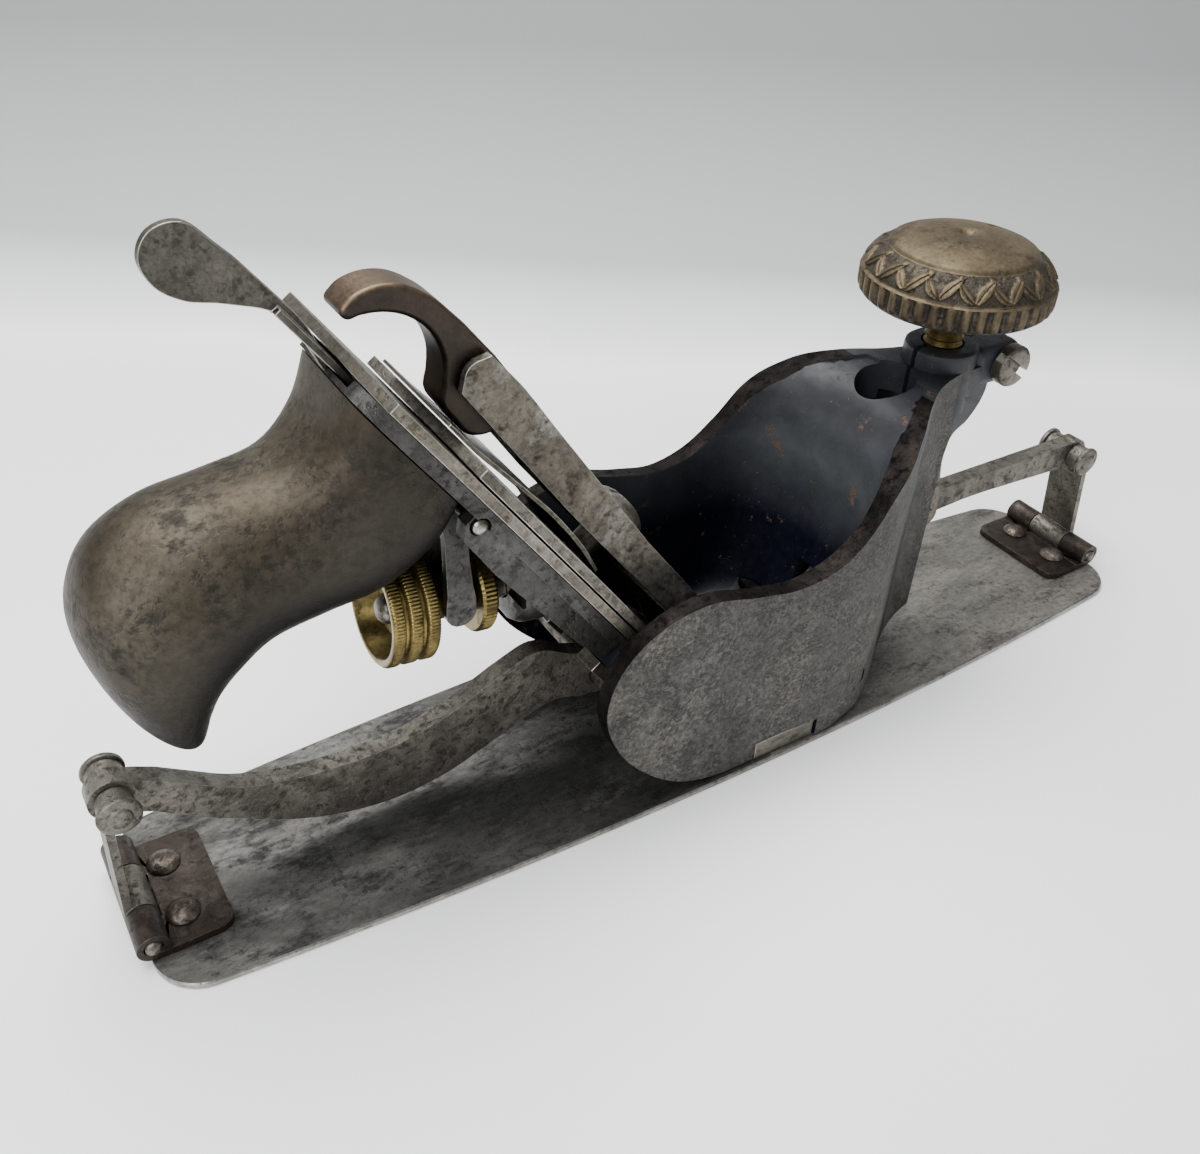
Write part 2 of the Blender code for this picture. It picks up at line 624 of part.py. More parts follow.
def make_iron():
    bevel = 2.0 / math.tan(math.radians(25))
    side = [(0.0, 0.0), (IRON_TOP_U, 0.0), (IRON_TOP_U, -IRON_THICK), (bevel, -IRON_THICK)]
    iron = plate("iron", side, -IRON_HALF_WIDTH, IRON_HALF_WIDTH, bed_side(), smooth=False)
    slot = box("iron_slot", (52, -5.4, -9), (120, 5.4, 9), bed_face())
    cut(iron, slot, cylinder("iron_eye", 8.6, -9, 9, bed_face() @ shift(56, 0), 20))
    set_origin(paint(iron, "bright_steel"), *chip_screw_place())

    side = [
        (1.4, 0.3), (4, 2.4), (7.5, 3.3), (11, 3.0), (14, 2.3), (112, 2.3), (112, 0.3),
        (14, 0.3), (11, 1.3), (8, 1.7), (5, 1.2), (2.2, 0.3),
    ]
    cap = plate("cap_iron", side, -IRON_HALF_WIDTH, IRON_HALF_WIDTH, bed_side(), smooth=False)
    screw_slot = box("cap_slot", (57, -3.6, -9), (68, 3.6, 9), bed_face())
    tongue_slot = box("tongue_slot", (YOKE_U - 1.9, -3.2, -9), (YOKE_U + 1.9, 3.2, 9), bed_face())
    thread = cylinder("chip_thread", 2.5 + GAP, -9, 9, bed_face() @ shift(CHIP_SCREW_U, 0), 16)
    cut(cap, screw_slot, tongue_slot, thread)
    set_origin(paint(cap, "rusty_steel"), *chip_screw_place())

    profile = [(0, 2.1), (2.5, 2.1), (2.5, -2.35), (6.2, -2.35), (6.2, -4.4), (5.6, -4.9), (0, -4.9)]
    screw = turned("cap_iron_screw", profile, bed_face() @ shift(CHIP_SCREW_U, 0), 20)
    set_origin(paint(screw, "bright_steel"), *chip_screw_place())

    top = [(116, 3.2), (108, 3.4), (96, 4.5), (84, 5.0), (74, 4.4), (68, 3.3)]
    under = [(68, 2.55), (74, 3.5), (84, 4.1), (96, 3.6), (108, 2.6), (116, 2.55)]
    leaf = plate("leaf_spring", top + under, -13, 13, bed_side(), smooth=False)
    paint(leaf, "bright_steel")


def chip_screw_place():
    x, z = bed_point(CHIP_SCREW_U, 0)
    return x, 0, z


def make_lever_cap():
    upper = [
        (114.6, 15.7, 1), (107, 16.1), (95, 15.5), (82, 14.8), (63, 13.8), (41, 13.6), (27, 12.2),
        (16, 8.6), (9, 5.6), (7.2, 4.2), (8.2, 3.7), (12, 4.2), (19, 5.6), (30, 7.0),
        (45, 7.4), (77, 6.9), (97, 7.4), (113.6, 7.8, 1), (116, 11.7),
    ]
    cap = plate("lever_cap", upper, -24, 24, bed_side(), resolution=3)
    half = [(117, 6.0, 1), (96, 7.6), (80, 10.4), (62, 13.2), (40, 17.4), (24, 19.6), (6, 20.2, 1)]
    plan = half + [(p[0], -p[1], *p[2:]) for p in reversed(half)]
    keep(cap, plate("lever_cap_plan", plan, -20, 30, bed_face(), resolution=3))
    half = [(125, 4.3, 1), (98, 5.5), (80, 8.2), (62, 10.8), (44, 14.2), (33, 15.6, 1)]
    plan = half + [(p[0], -p[1], *p[2:]) for p in reversed(half)]
    channel = plate("channel_plan", plan, -20, 30, bed_face(), resolution=3)
    under = [(30, 2), (125, 2), (125, 13), (82, 11.8), (63, 10.8), (41, 10.4), (30, 8.4)]
    keep(channel, plate("channel_side", under, -24, 24, bed_side(), smooth=False))
    fork = box("cam_fork", (97.5, -4.3, -5), (130, 4.3, 30), bed_face())
    hole = cylinder("lever_cap_hole", 3.4, 0, 30, bed_face() @ shift(CAP_SCREW_U, 0), 16)
    cut(cap, channel, fork, hole)
    pivot = cam_pivot()
    cut(cap, cross_pin("cam_hole", 1.5 + GAP, pivot, -20, 20, 16))
    paint(cap, "bright_steel")

    profile = [
        (0, 17.2), (3, 16.9), (5.4, 15.9), (6.4, 14.8), (6.4, 14.2), (3.0, 14.2), (3.0, -5.3), (0, -5.3),
    ]
    screw = turned("lever_cap_screw", profile, bed_face() @ shift(CAP_SCREW_U, 0), 20)
    paint(cut(screw, box("driver_slot", (-9, -0.7, 15.9), (9, 0.7, 20), bed_face() @ shift(CAP_SCREW_U, 0))),
          "bright_steel")
    make_cam(pivot)


def cam_pivot():
    return bed_point(*CAM_PIVOT)


def make_cam(pivot):
    outline = [
        (137.4, 3.0), (138.2, 5.4), (137.2, 9.0), (134.4, 12.4), (129.0, 14.9), (122.5, 15.9), (115, 16.3),
        (110, 16.3), (103.5, 15.2), (100.6, 12.0), (100.9, 8.4), (102.4, 5.6), (104.6, 3.95),
        (109, 3.8), (113.4, 4.4), (115.8, 7.0), (119, 9.6), (123.5, 11.0), (128, 10.5),
        (132.4, 8.0), (134.8, 5.2), (136.2, 3.0),
    ]
    cam = plate("cam_lever", outline, -3.9, 3.9, bed_side(), resolution=2)
    cut(cam, cross_pin("cam_bore", 1.5 + GAP, pivot, -20, 20, 16))
    set_origin(paint(cam, "handle_iron"), pivot[0], 0, pivot[1])
    pin = cross_pin("cam_pin", 1.5, pivot, -6.5, 6.5, 16)
    set_origin(paint(pin, "bright_steel"), pivot[0], 0, pivot[1])


def make_lateral_lever():
    """Lever under the top of the iron, twisted into an upright paddle behind it."""
    low, high = -3.75, -2.5
    strap = [
        (144, -2.2), (144, 2.2), (131, 3.4), (116, 5.6), (108.5, 5.6), (107, 3.4),
        (107, -3.4), (108.5, -5.6), (116, -5.6), (131, -3.4),
    ]
    lever = plate("lateral_lever", strap, low, high, bed_face(), smooth=False)
    paddle = [
        (-78.8, 102.8), (-84.8, 112.4), (-93, 115.8), (-98.4, 117.3), (-101.9, 120.1), (-103.1, 124.1),
        (-101.2, 127.4), (-97.5, 128.4), (-91.8, 123.8), (-86.4, 117.3), (-80.4, 108.6),
    ]
    join(lever, plate("paddle", paddle, -0.8, 0.8, SIDE, resolution=3))
    cut(lever, cylinder("lever_pivot_hole", 2.6 + GAP, -9, 5, bed_face() @ shift(LATERAL_PIVOT_U, 0), 16))
    x, z = bed_point(LATERAL_PIVOT_U, -3)
    set_origin(paint(lever, "bright_steel"), x, 0, z)
    place = bed_face() @ shift(LATERAL_PIVOT_U, 0)
    profile = [(0, -2.25), (2.6, -2.25), (2.6, -3.75), (1.3, -3.75), (1.3, -4.85), (0, -4.85)]
    paint(turned("lateral_pivot", profile, place, 16), "bright_steel")
    roller = cylinder("lateral_roller", 4.8, -2.2, -0.1, bed_face() @ shift(ROLLER_U, 0), 20)
    set_origin(paint(roller, "bright_steel"), x, 0, z)


def make_depth_adjuster():
    profile = [(0, 0.8), (1.8, 1.2), (2.9, 2.4), (2.9, 33), (0, 33)]
    stud = turned("depth_stud", profile, stud_matrix(), 16)
    paint(stud, "bright_steel")

    rim = [(WHEEL_RADIUS, 9.0), (WHEEL_RADIUS, 6.8), (9.8, 6.4), (9.8, 5.9), (WHEEL_RADIUS, 5.5)]
    rim += [(WHEEL_RADIUS, 3.5), (9.8, 3.1), (9.8, 2.6), (WHEEL_RADIUS, 2.2), (WHEEL_RADIUS, 0.4), (10.2, 0)]
    profile = [(3.3, 18.5), (4.2, 18.5), (4.2, 10.7), (7.2, 10.3), (8.4, 9.6), (8.4, 9.0)]
    profile += rim + [(8.9, 0), (8.3, 5.4), (5.2, 5.4), (5.0, 3.4), (3.3, 3.4)]
    wheel = turned("depth_wheel", profile, stud_matrix(), 32, bored=True)
    set_origin(paint(wheel, "old_brass"), WHEEL_END[0], 0, WHEEL_END[1])
    profile = [(3.3, 22.0), (7.6, 22.0), (8.2, 21.4), (8.2, 19.4), (7.6, 18.8), (3.3, 18.8)]
    collar = turned("wheel_collar", profile, stud_matrix(), 24, bored=True)
    set_origin(paint(collar, "old_brass"), WHEEL_END[0], 0, WHEEL_END[1])
    make_yoke()


def make_yoke():
    """Rocking fork: the tongue enters the cap iron, and the two prongs stand either side of the hub."""
    x, z = YOKE_PIVOT
    yoke = cross_pin("yoke", 3.0, YOKE_PIVOT, -6.4, 6.4, 20)
    foot_x, foot_z = YOKE_FOOT
    prong = [
        (x - 2.2, z + 0.5), (x - 2.6, z - 8), (foot_x - 2.7, foot_z + 4.5), (foot_x - 3.1, foot_z),
        (foot_x - 2.2, foot_z - 2.2), (foot_x, foot_z - 3.1), (foot_x + 2.2, foot_z - 2.2),
        (foot_x + 3.1, foot_z), (foot_x + 2.5, foot_z + 5.5), (x + 1.9, z - 8), (x + 2.4, z + 0.5),
    ]
    for low, high in ((-6.4, -4.6), (4.6, 6.4)):
        join(yoke, plate("prong", prong, low, high, SIDE, resolution=2))
    tongue = box("tongue", (YOKE_U - 1.2, -2.7, -6), (YOKE_U + 1.2, 2.7, 2.2), bed_face())
    join(yoke, tongue)
    cut(yoke, cross_pin("yoke_bore", 1.5 + GAP, YOKE_PIVOT, -20, 20, 12))
    set_origin(paint(yoke, "bright_steel"), x, 0, z)
    profile = [(0, 16.3), (1.1, 16.1), (1.5, 15.5), (1.5, -15.5), (1.1, -16.1), (0, -16.3)]
    pin = turned("yoke_pin", profile, axis_matrix((x, 0, z), (0, 1, 0)), 16)
    paint(pin, "bright_steel")


# ---------------------------------------------------------------- knob and linkage

def make_knob():
    place = Matrix.Translation((BOSS_X * MM, 0, 0))
    z = KNOB_RIM_Z
    profile = [
        (0, z + 13.0), (1.6, z + 13.4), (6, z + 13.3), (11, z + 12.3), (15.5, z + 10.7), (18.2, z + 8.4),
        (20.0, z + 5.2), (20.4, z + 4.4), (KNOB_RIM_RADIUS, z + 2), (KNOB_RIM_RADIUS - 0.2, z),
        (19, z - 1), (12, z - 1.6), (6.6, z - 2.2), (5.4, z - 4.0), (0, z - 4.0),
    ]
    knob = turned("knob", profile, place, 40)
    cut(knob, cylinder("knob_bore", 3.3, 70, 95, place, 16))
    set_origin(paint(knob, "knob_bronze"), BOSS_X, 0, z)
    profile = [
        (0, 94.6), (3.0, 94.6), (3.0, 83.7), (SCREW_RADIUS - 0.2, 83.7), (SCREW_RADIUS - 0.2, 59.4),
        (2.0, 58.9), (2.0, 56.4), (0, 56.4),
    ]
    screw = turned("adjusting_screw", profile, place, 20)
    set_origin(paint(screw, "old_brass"), BOSS_X, 0, z)
    block = cylinder("swivel_block", 4.8, 55.2, 58.5, place, 20)
    join(block, box("swivel_tongue", (BOSS_X - 3.2, -1.8, 47.2), (BOSS_X + 3.2, 1.8, 55.8)))
    bore = cylinder("swivel_bore", 2.3, 56.1, 62, place, 16)
    cut(block, bore, cross_pin("swivel_hole", 1.6 + GAP, LINK_TOP, -20, 20, 12))
    set_origin(paint(block, "bright_steel"), LINK_TOP[0], 0, LINK_TOP[1])

    run = Vector((LINK_FOOT[0] - LINK_TOP[0], 0, LINK_FOOT[1] - LINK_TOP[1]))
    length = run.length
    along = frame_matrix(run.normalized(), Vector((0, 1, 0)).cross(run.normalized()) * -1,
                         Vector((0, 1, 0)), (LINK_TOP[0], 0, LINK_TOP[1]))
    for low, high, word in ((-4.4, -2.3, "right"), (2.3, 4.4, "left")):
        outline = rounded_bar(length, 3.6)
        strap = plate("link_plate_" + word, outline, low, high, along, smooth=False)
        cut(strap, cross_pin("link_hole", 1.6 + GAP, LINK_TOP, -20, 20, 12))
        cut(strap, cross_pin("link_hole", 1.6 + GAP, LINK_FOOT, -20, 20, 12))
        set_origin(paint(strap, "bright_steel"), LINK_TOP[0], 0, LINK_TOP[1])
    for spot, name in ((LINK_TOP, "upper_link_pin"), (LINK_FOOT, "lower_link_pin")):
        pin = cross_pin(name, 1.6, spot, -5.0, 5.0, 16)
        set_origin(paint(pin, "bright_steel"), LINK_TOP[0], 0, LINK_TOP[1])


def rounded_bar(length, radius, steps=8):
    """Outline of a bar with round ends centred on (0, 0) and (length, 0)."""
    points = []
    for centre, start in ((0, 90), (length, -90)):
        for i in range(steps + 1):
            turn = math.radians(start + 180 * i / steps)
            points.append((centre + radius * math.cos(turn), radius * math.sin(turn)))
    return points


def make_arm(name, outline, shaft, eye, eye_radius):
    """Bent bar from a shaft to an eye at the end of the sole."""
    arm = plate(name, outline, -ARM_HALF_THICK, ARM_HALF_THICK, SIDE, resolution=3)
    join(arm, cross_pin("hub", 5.5, shaft, -ARM_HALF_THICK, ARM_HALF_THICK, 20))
    join(arm, cross_pin("eye", eye_radius, eye, -ARM_HALF_THICK, ARM_HALF_THICK, 20))
    cut(arm, cross_pin("shaft_bore", SHAFT_RADIUS + GAP, shaft, -20, 20, 20))
    cut(arm, cross_pin("eye_bore", 2.7, eye, -20, 20, 16))
    return paint(arm, "bright_steel")


def make_arms():
    front = [
        (26, 17.2), (33, 21), (41, 29), (50, 34.8), (60, 36.4, 1), (121, 36.3, 1), (121, 29.2, 1),
        (64, 29.3), (56, 27.6), (48, 21.6), (40, 13.2), (34, 8.0), (28, 6.8),
    ]
    arm = make_arm("front_arm", front, FRONT_PIVOT, TOE_JOINT, 4.3)
    cut(arm, cross_pin("link_bore", 2.3, LINK_FOOT, -20, 20, 12))
    set_origin(arm, FRONT_PIVOT[0], 0, FRONT_PIVOT[1])
    rear = [
        (-123.4, 34.6), (-118, 33.2), (-113.4, 30.2), (-104.4, 24.4), (-92.3, 20.9), (-82.3, 19.9),
        (-71.8, 20.3), (-60.7, 23.3), (-49.2, 28.6), (-41.5, 31.0), (-34, 27.4), (-27, 24.0),
        (-23.0, 17.0), (-28.5, 14.0), (-36.6, 15.9), (-51, 11.4), (-62.8, 7), (-74.1, 5.6), (-84.7, 7),
        (-94.7, 10.5), (-105.5, 16.6), (-112.3, 20.9), (-118.6, 25.7), (-123.4, 29.0),
    ]
    arm = make_arm("rear_arm", rear, REAR_PIVOT, HEEL_JOINT, 4.3)
    set_origin(arm, REAR_PIVOT[0], 0, REAR_PIVOT[1])
    gear_line = math.degrees(math.atan2(REAR_PIVOT[1] - FRONT_PIVOT[1], REAR_PIVOT[0] - FRONT_PIVOT[0]))
    step = 360 / SECTOR_TEETH
    make_sector("front", FRONT_PIVOT, gear_line)
    make_sector("rear", REAR_PIVOT, gear_line + 180 + step / 2)
    for end, joint in (("toe", TOE_JOINT), ("heel", HEEL_JOINT)):
        place = TOE_HINGE if end == "toe" else HEEL_HINGE
        profile = [(0, 7.4), (2.0, 7.4), (2.2, 6.8), (3.6, 6.8), (3.9, 6.5), (3.9, 5.5), (1.9, 5.5)]
        profile += [(radius, -height) for radius, height in reversed(profile)]
        pin = turned(end + "_arm_pin", profile, axis_matrix((joint[0], 0, joint[1]), (0, 1, 0)), 20)
        set_origin(paint(pin, "bright_steel"), place[0], 0, place[1])


def make_sector(word, place, middle):
    """Shaft, toothed sector and screw on the left cheek. The angle points at the other shaft."""
    pitch = math.hypot(FRONT_PIVOT[0] - REAR_PIVOT[0], FRONT_PIVOT[1] - REAR_PIVOT[1]) / 2
    step = 360 / SECTOR_TEETH
    teeth = 7
    start = middle - step * (teeth // 2)
    points = []
    for i in range(teeth):
        centre = start + i * step
        for turn, radius in ((-0.42, -1.2), (-0.24, -1.1), (-0.13, 0.75), (0.13, 0.75), (0.24, -1.1)):
            angle = math.radians(centre + turn * step)
            points.append(((pitch + radius) * math.cos(angle), (pitch + radius) * math.sin(angle)))
    last = math.radians(middle + 90)
    points += [(6 * math.cos(last + i * math.pi / 8), 6 * math.sin(last + i * math.pi / 8)) for i in range(9)]
    matrix = Matrix.Translation((place[0] * MM, 0, place[1] * MM)) @ SIDE
    sector = plate(word + "_sector", points, -SECTOR_Y[1], -SECTOR_Y[0], matrix, smooth=False)
    cut(sector, cross_pin("sector_bore", SHAFT_RADIUS + GAP, place, -50, 50, 20))
    set_origin(paint(sector, "rusty_steel"), place[0], 0, place[1])
    shaft = cross_pin(word + "_shaft", SHAFT_RADIUS, place, -25.2, SECTOR_Y[1], 20)
    set_origin(paint(shaft, "bright_steel"), place[0], 0, place[1])
    head = [(0, 2.2), (3.2, 1.9), (4.6, 0.9), (4.8, 0.3), (0, 0.3)]
    screw = turned(word + "_sector_screw", head, axis_matrix((place[0], SECTOR_Y[1], place[1]), (0, 1, 0)), 20)
    set_origin(paint(screw, "bright_steel"), place[0], 0, place[1])


def make_clamp_screw():
    place = axis_matrix((CLAMP_X, 0, CLAMP_Z), (0, -1, 0))
    profile = [(0, 11.0), (4.2, 10.7), (4.8, 10.0), (4.8, 7.9), (2.1, 7.9), (2.1, -6.6), (0, -6.6)]
    screw = turned("clamp_screw", profile, place, 24)
    turn = math.radians(-34)
    along, across = Vector((math.cos(turn), 0, math.sin(turn))), Vector((-math.sin(turn), 0, math.cos(turn)))
    slot = frame_matrix(along, across, Vector((0, -1, 0)), (CLAMP_X, 0, CLAMP_Z))
    cut(screw, box("clamp_slot", (-9, -0.7, 9.2), (9, 0.7, 14), slot))
    set_origin(paint(screw, "bright_steel"), CLAMP_X, 0, CLAMP_Z)


def main():
    clear_scene()
    make_sole()
    make_hinge("toe", TOE_HINGE, TOE_JOINT)
    make_hinge("heel", HEEL_HINGE, HEEL_JOINT)
    make_body()
    make_frog()
    make_frog_screws()
    make_handle()
    make_iron()
    make_lever_cap()
    make_lateral_lever()
    make_depth_adjuster()
    make_knob()
    make_arms()
    make_clamp_screw()


main()
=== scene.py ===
"""Looks of the flexible-sole circular hand plane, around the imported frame.

+X is towards the toe, +Y towards the left side and +Z up. Helpers take millimetres.
"""

import math

import bmesh
import bpy
from mathutils import Matrix, Vector


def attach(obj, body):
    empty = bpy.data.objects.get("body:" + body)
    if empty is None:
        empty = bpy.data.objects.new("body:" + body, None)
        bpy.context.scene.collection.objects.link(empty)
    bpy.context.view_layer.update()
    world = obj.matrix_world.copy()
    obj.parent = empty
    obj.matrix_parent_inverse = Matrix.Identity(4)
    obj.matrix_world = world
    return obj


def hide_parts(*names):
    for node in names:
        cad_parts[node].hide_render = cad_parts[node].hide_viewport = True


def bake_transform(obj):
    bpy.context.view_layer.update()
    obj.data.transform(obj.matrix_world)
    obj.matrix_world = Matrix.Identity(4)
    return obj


MM = 0.001
BED_ANGLE = math.radians(53.3)
EDGE_X = 2.95
SIDE = Matrix.Rotation(math.pi / 2, 4, "X")
LEVEL = Matrix.Identity(4)

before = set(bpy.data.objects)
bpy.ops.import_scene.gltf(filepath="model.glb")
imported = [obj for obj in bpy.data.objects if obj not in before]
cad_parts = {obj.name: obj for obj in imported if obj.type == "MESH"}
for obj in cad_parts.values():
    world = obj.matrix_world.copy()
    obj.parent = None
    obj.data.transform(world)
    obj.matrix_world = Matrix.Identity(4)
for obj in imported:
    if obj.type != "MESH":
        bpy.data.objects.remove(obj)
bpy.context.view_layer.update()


# ---------------------------------------------------------------- places

def frame_matrix(x_axis, y_axis, z_axis, origin):
    matrix = Matrix((x_axis, y_axis, z_axis)).transposed().to_4x4()
    matrix.translation = Vector(origin) * MM
    return matrix


BED_UP = Vector((-math.cos(BED_ANGLE), 0.0, math.sin(BED_ANGLE)))
BED_OUT = Vector((math.sin(BED_ANGLE), 0.0, math.cos(BED_ANGLE)))
BED_SIDE = frame_matrix(BED_UP, BED_OUT, Vector((0, 1, 0)), (EDGE_X, 0, 0))
BED_FACE = frame_matrix(BED_UP, Vector((0, -1, 0)), BED_OUT, (EDGE_X, 0, 0))
WHEEL_END = (-75.2, 52.8)       # back of the wheel, on the stud's axis
STUD_TILT = math.radians(-5.7)
SOLE_REACH = 127.0              # from the middle to either end
SOLE_THICK = 1.5
SOLE_CORNER = 8.8
THROAT_HALF = 23.4              # half the width between the cheeks
IRON_HALF = 22.2
FROG_BACK = -4.9 - 0.3          # how far behind the iron the frog's back is, with its gap
KNOB_X = 61.5
KNOB_FOOT = 88.0
CLAMP = (75, 72)
FRONT_SHAFT, REAR_SHAFT = (28, 12), (-26, 19)
TOE_HINGE, HEEL_HINGE = (125.4, 5.0), (-126.2, 5.0)
TOE_EYE, HEEL_EYE = (121.0, 32.3), (-125.0, 32.0)
DROP_LINK_FOOT = (64.8, 32.3)
CHIP_SCREW_U = 80
CAP_SCREW_U = 62.5


def bed_point(u, v):
    return EDGE_X + BED_UP.x * u + BED_OUT.x * v, BED_UP.z * u + BED_OUT.z * v


def axis_matrix(origin, direction):
    matrix = Vector(direction).to_track_quat("Z", "Y").to_matrix().to_4x4()
    matrix.translation = Vector(origin) * MM
    return matrix


def shift(u, y):
    return Matrix.Translation((u * MM, y * MM, 0))


def cross_matrix(place):
    """The y axis through a place in the side view."""
    return axis_matrix((place[0], 0, place[1]), (0, 1, 0))


STUD = axis_matrix((WHEEL_END[0], 0, WHEEL_END[1]), (math.cos(STUD_TILT), 0, math.sin(STUD_TILT)))
KNOB_AXIS = Matrix.Translation((KNOB_X * MM, 0, 0))


# ---------------------------------------------------------------- shapes

def new_object(name, mesh):
    obj = bpy.data.objects.new(name, mesh)
    bpy.context.scene.collection.objects.link(obj)
    return obj


def from_bmesh(name, bm, matrix=LEVEL):
    bmesh.ops.transform(bm, matrix=matrix, verts=bm.verts)
    bmesh.ops.recalc_face_normals(bm, faces=bm.faces)
    mesh = bpy.data.meshes.new(name)
    bm.to_mesh(mesh)
    bm.free()
    return new_object(name, mesh)


def box(name, low, high, matrix=LEVEL):
    low, high = Vector(low), Vector(high)
    bm = bmesh.new()
    bmesh.ops.create_cube(bm, size=1.0)
    bmesh.ops.scale(bm, vec=(high - low) * MM, verts=bm.verts)
    bmesh.ops.translate(bm, vec=(low + high) / 2 * MM, verts=bm.verts)
    return from_bmesh(name, bm, matrix)


def cylinder(name, radius, start, end, matrix=LEVEL, segments=48):
    bm = bmesh.new()
    bmesh.ops.create_cone(bm, cap_ends=True, segments=segments, radius1=radius * MM,
                          radius2=radius * MM, depth=(end - start) * MM)
    bmesh.ops.translate(bm, vec=(0, 0, (start + end) / 2 * MM), verts=bm.verts)
    return from_bmesh(name, bm, matrix)


def cross_pin(name, radius, place, low_y, high_y, segments=40):
    return cylinder(name, radius, low_y, high_y, cross_matrix(place), segments)


def outline_points(points, steps):
    """A closed smooth line through the points. A point with a third number stays a corner."""
    made = []
    count = len(points)
    for i in range(count):
        p1, p2 = points[i], points[(i + 1) % count]
        p0, p3 = points[i - 1], points[(i + 2) % count]
        a, b = Vector(p1[:2]), Vector(p2[:2])
        span = (b - a).length
        out = (b - a) if len(p1) > 2 else tangent(p0, p1, p2) * span
        back = (b - a) if len(p2) > 2 else tangent(p1, p2, p3) * span
        for k in range(steps):
            t = k / steps
            made.append(
                a * (2 * t ** 3 - 3 * t ** 2 + 1) + out * (t ** 3 - 2 * t ** 2 + t)
                + b * (3 * t ** 2 - 2 * t ** 3) + back * (t ** 3 - t ** 2)
            )
    kept = [made[0]]
    for point in made[1:]:
        if (point - kept[-1]).length > 0.02:
            kept.append(point)
    return kept


def tangent(before, at, after):
    first = (Vector(at[:2]) - Vector(before[:2]))
    last = (Vector(after[:2]) - Vector(at[:2]))
    total = first / max(first.length_squared, 1e-6) + last / max(last.length_squared, 1e-6)
    return total.normalized() if total.length > 0 else last.normalized()


def plate(name, points, low, high, matrix=LEVEL, steps=6):
    """An outline in the matrix's xy plane, extruded along its z. steps=1 keeps it straight-edged."""
    line = outline_points([(*p[:2], 1) if steps == 1 else p for p in points], steps)
    bm = bmesh.new()
    base = [bm.verts.new((p.x * MM, p.y * MM, low * MM)) for p in line]
    face = bm.faces.new(base)
    top = bmesh.ops.extrude_face_region(bm, geom=[face])
    verts = [v for v in top["geom"] if isinstance(v, bmesh.types.BMVert)]
    bmesh.ops.translate(bm, vec=(0, 0, (high - low) * MM), verts=verts)
    return from_bmesh(name, bm, matrix)


def turned(name, profile, matrix=LEVEL, steps=64, bored=False, shape=None):
    """A profile of (radius, height) turned about z. shape(angle, i) returns a change of radius."""
    bm = bmesh.new()
    rows = []
    for i, (radius, height) in enumerate(profile):
        if radius < 1e-6:
            rows.append([bm.verts.new((0, 0, height * MM))] * steps)
            continue
        row = []
        for k in range(steps):
            turn = 2 * math.pi * k / steps
            r = radius + (shape(turn, i) if shape else 0)
            row.append(bm.verts.new((r * math.cos(turn) * MM, r * math.sin(turn) * MM, height * MM)))
        rows.append(row)
    pairs = list(zip(rows, rows[1:])) + ([(rows[-1], rows[0])] if bored else [])
    for one, two in pairs:
        for k in range(steps):
            m = (k + 1) % steps
            corners = []
            for vert in (one[k], one[m], two[m], two[k]):
                if vert not in corners:
                    corners.append(vert)
            if len(corners) > 2:
                bm.faces.new(corners)
    return from_bmesh(name, bm, matrix)


def loft(name, rings):
    bm = bmesh.new()
    rows = [[bm.verts.new(Vector(point) * MM) for point in ring] for ring in rings]
    count = len(rows[0])
    for row, following in zip(rows, rows[1:]):
        for i in range(count):
            j = (i + 1) % count
            bm.faces.new((row[i], row[j], following[j], following[i]))
    bm.faces.new(reversed(rows[0]))
    bm.faces.new(rows[-1])
    return from_bmesh(name, bm)


def settle(obj):
    """Replaces the object's mesh by its evaluated one."""
    graph = bpy.context.evaluated_depsgraph_get()
    mesh = bpy.data.meshes.new_from_object(obj.evaluated_get(graph))
    obj.modifiers.clear()
    old = obj.data
    obj.data = mesh
    bpy.data.meshes.remove(old)
    return obj


def combine(obj, tools, operation):
    for tool in tools:
        step = obj.modifiers.new("combine", "BOOLEAN")
        step.operation = operation
        step.object = tool
        step.solver = "EXACT"
    settle(obj)
    for tool in tools:
        mesh = tool.data
        bpy.data.objects.remove(tool)
        bpy.data.meshes.remove(mesh)
    return obj


def cut(obj, *tools):
    return combine(obj, tools, "DIFFERENCE")


def join(obj, *tools):
    return combine(obj, tools, "UNION")


def keep(obj, tool):
    return combine(obj, [tool], "INTERSECT")


def tidy_faces(obj, weld=0.02, angle=2.0):
    bm = bmesh.new()
    bm.from_mesh(obj.data)
    bmesh.ops.remove_doubles(bm, verts=bm.verts, dist=weld * MM)
    bmesh.ops.dissolve_limit(bm, angle_limit=math.radians(angle), verts=bm.verts, edges=bm.edges)
    bmesh.ops.recalc_face_normals(bm, faces=bm.faces)
    bm.to_mesh(obj.data)
    bm.free()


def smooth(obj, angle=30):
    for face in obj.data.polygons:
        face.use_smooth = True
    obj.data.set_sharp_from_angle(angle=math.radians(angle))


def round_edges(obj, width, segments=3, angle=30):
    """Rounds the sharp edges. The rounded strip takes the object's second material."""
    step = obj.modifiers.new("edge", "BEVEL")
    step.width = width * MM
    step.segments = segments
    step.limit_method = "ANGLE"
    step.angle_limit = math.radians(angle)
    if len(obj.data.materials) > 1:
        step.material = 1
    settle(obj)


def weigh_normals(obj):
    normals = obj.modifiers.new("normals", "WEIGHTED_NORMAL")
    normals.keep_sharp = True


def set_materials(obj, *names):
    obj.data.materials.clear()
    for name in names:
        obj.data.materials.append(M[name])


def assign(obj, body, slot, *nodes):
    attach(obj, body)
    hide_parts(*nodes)


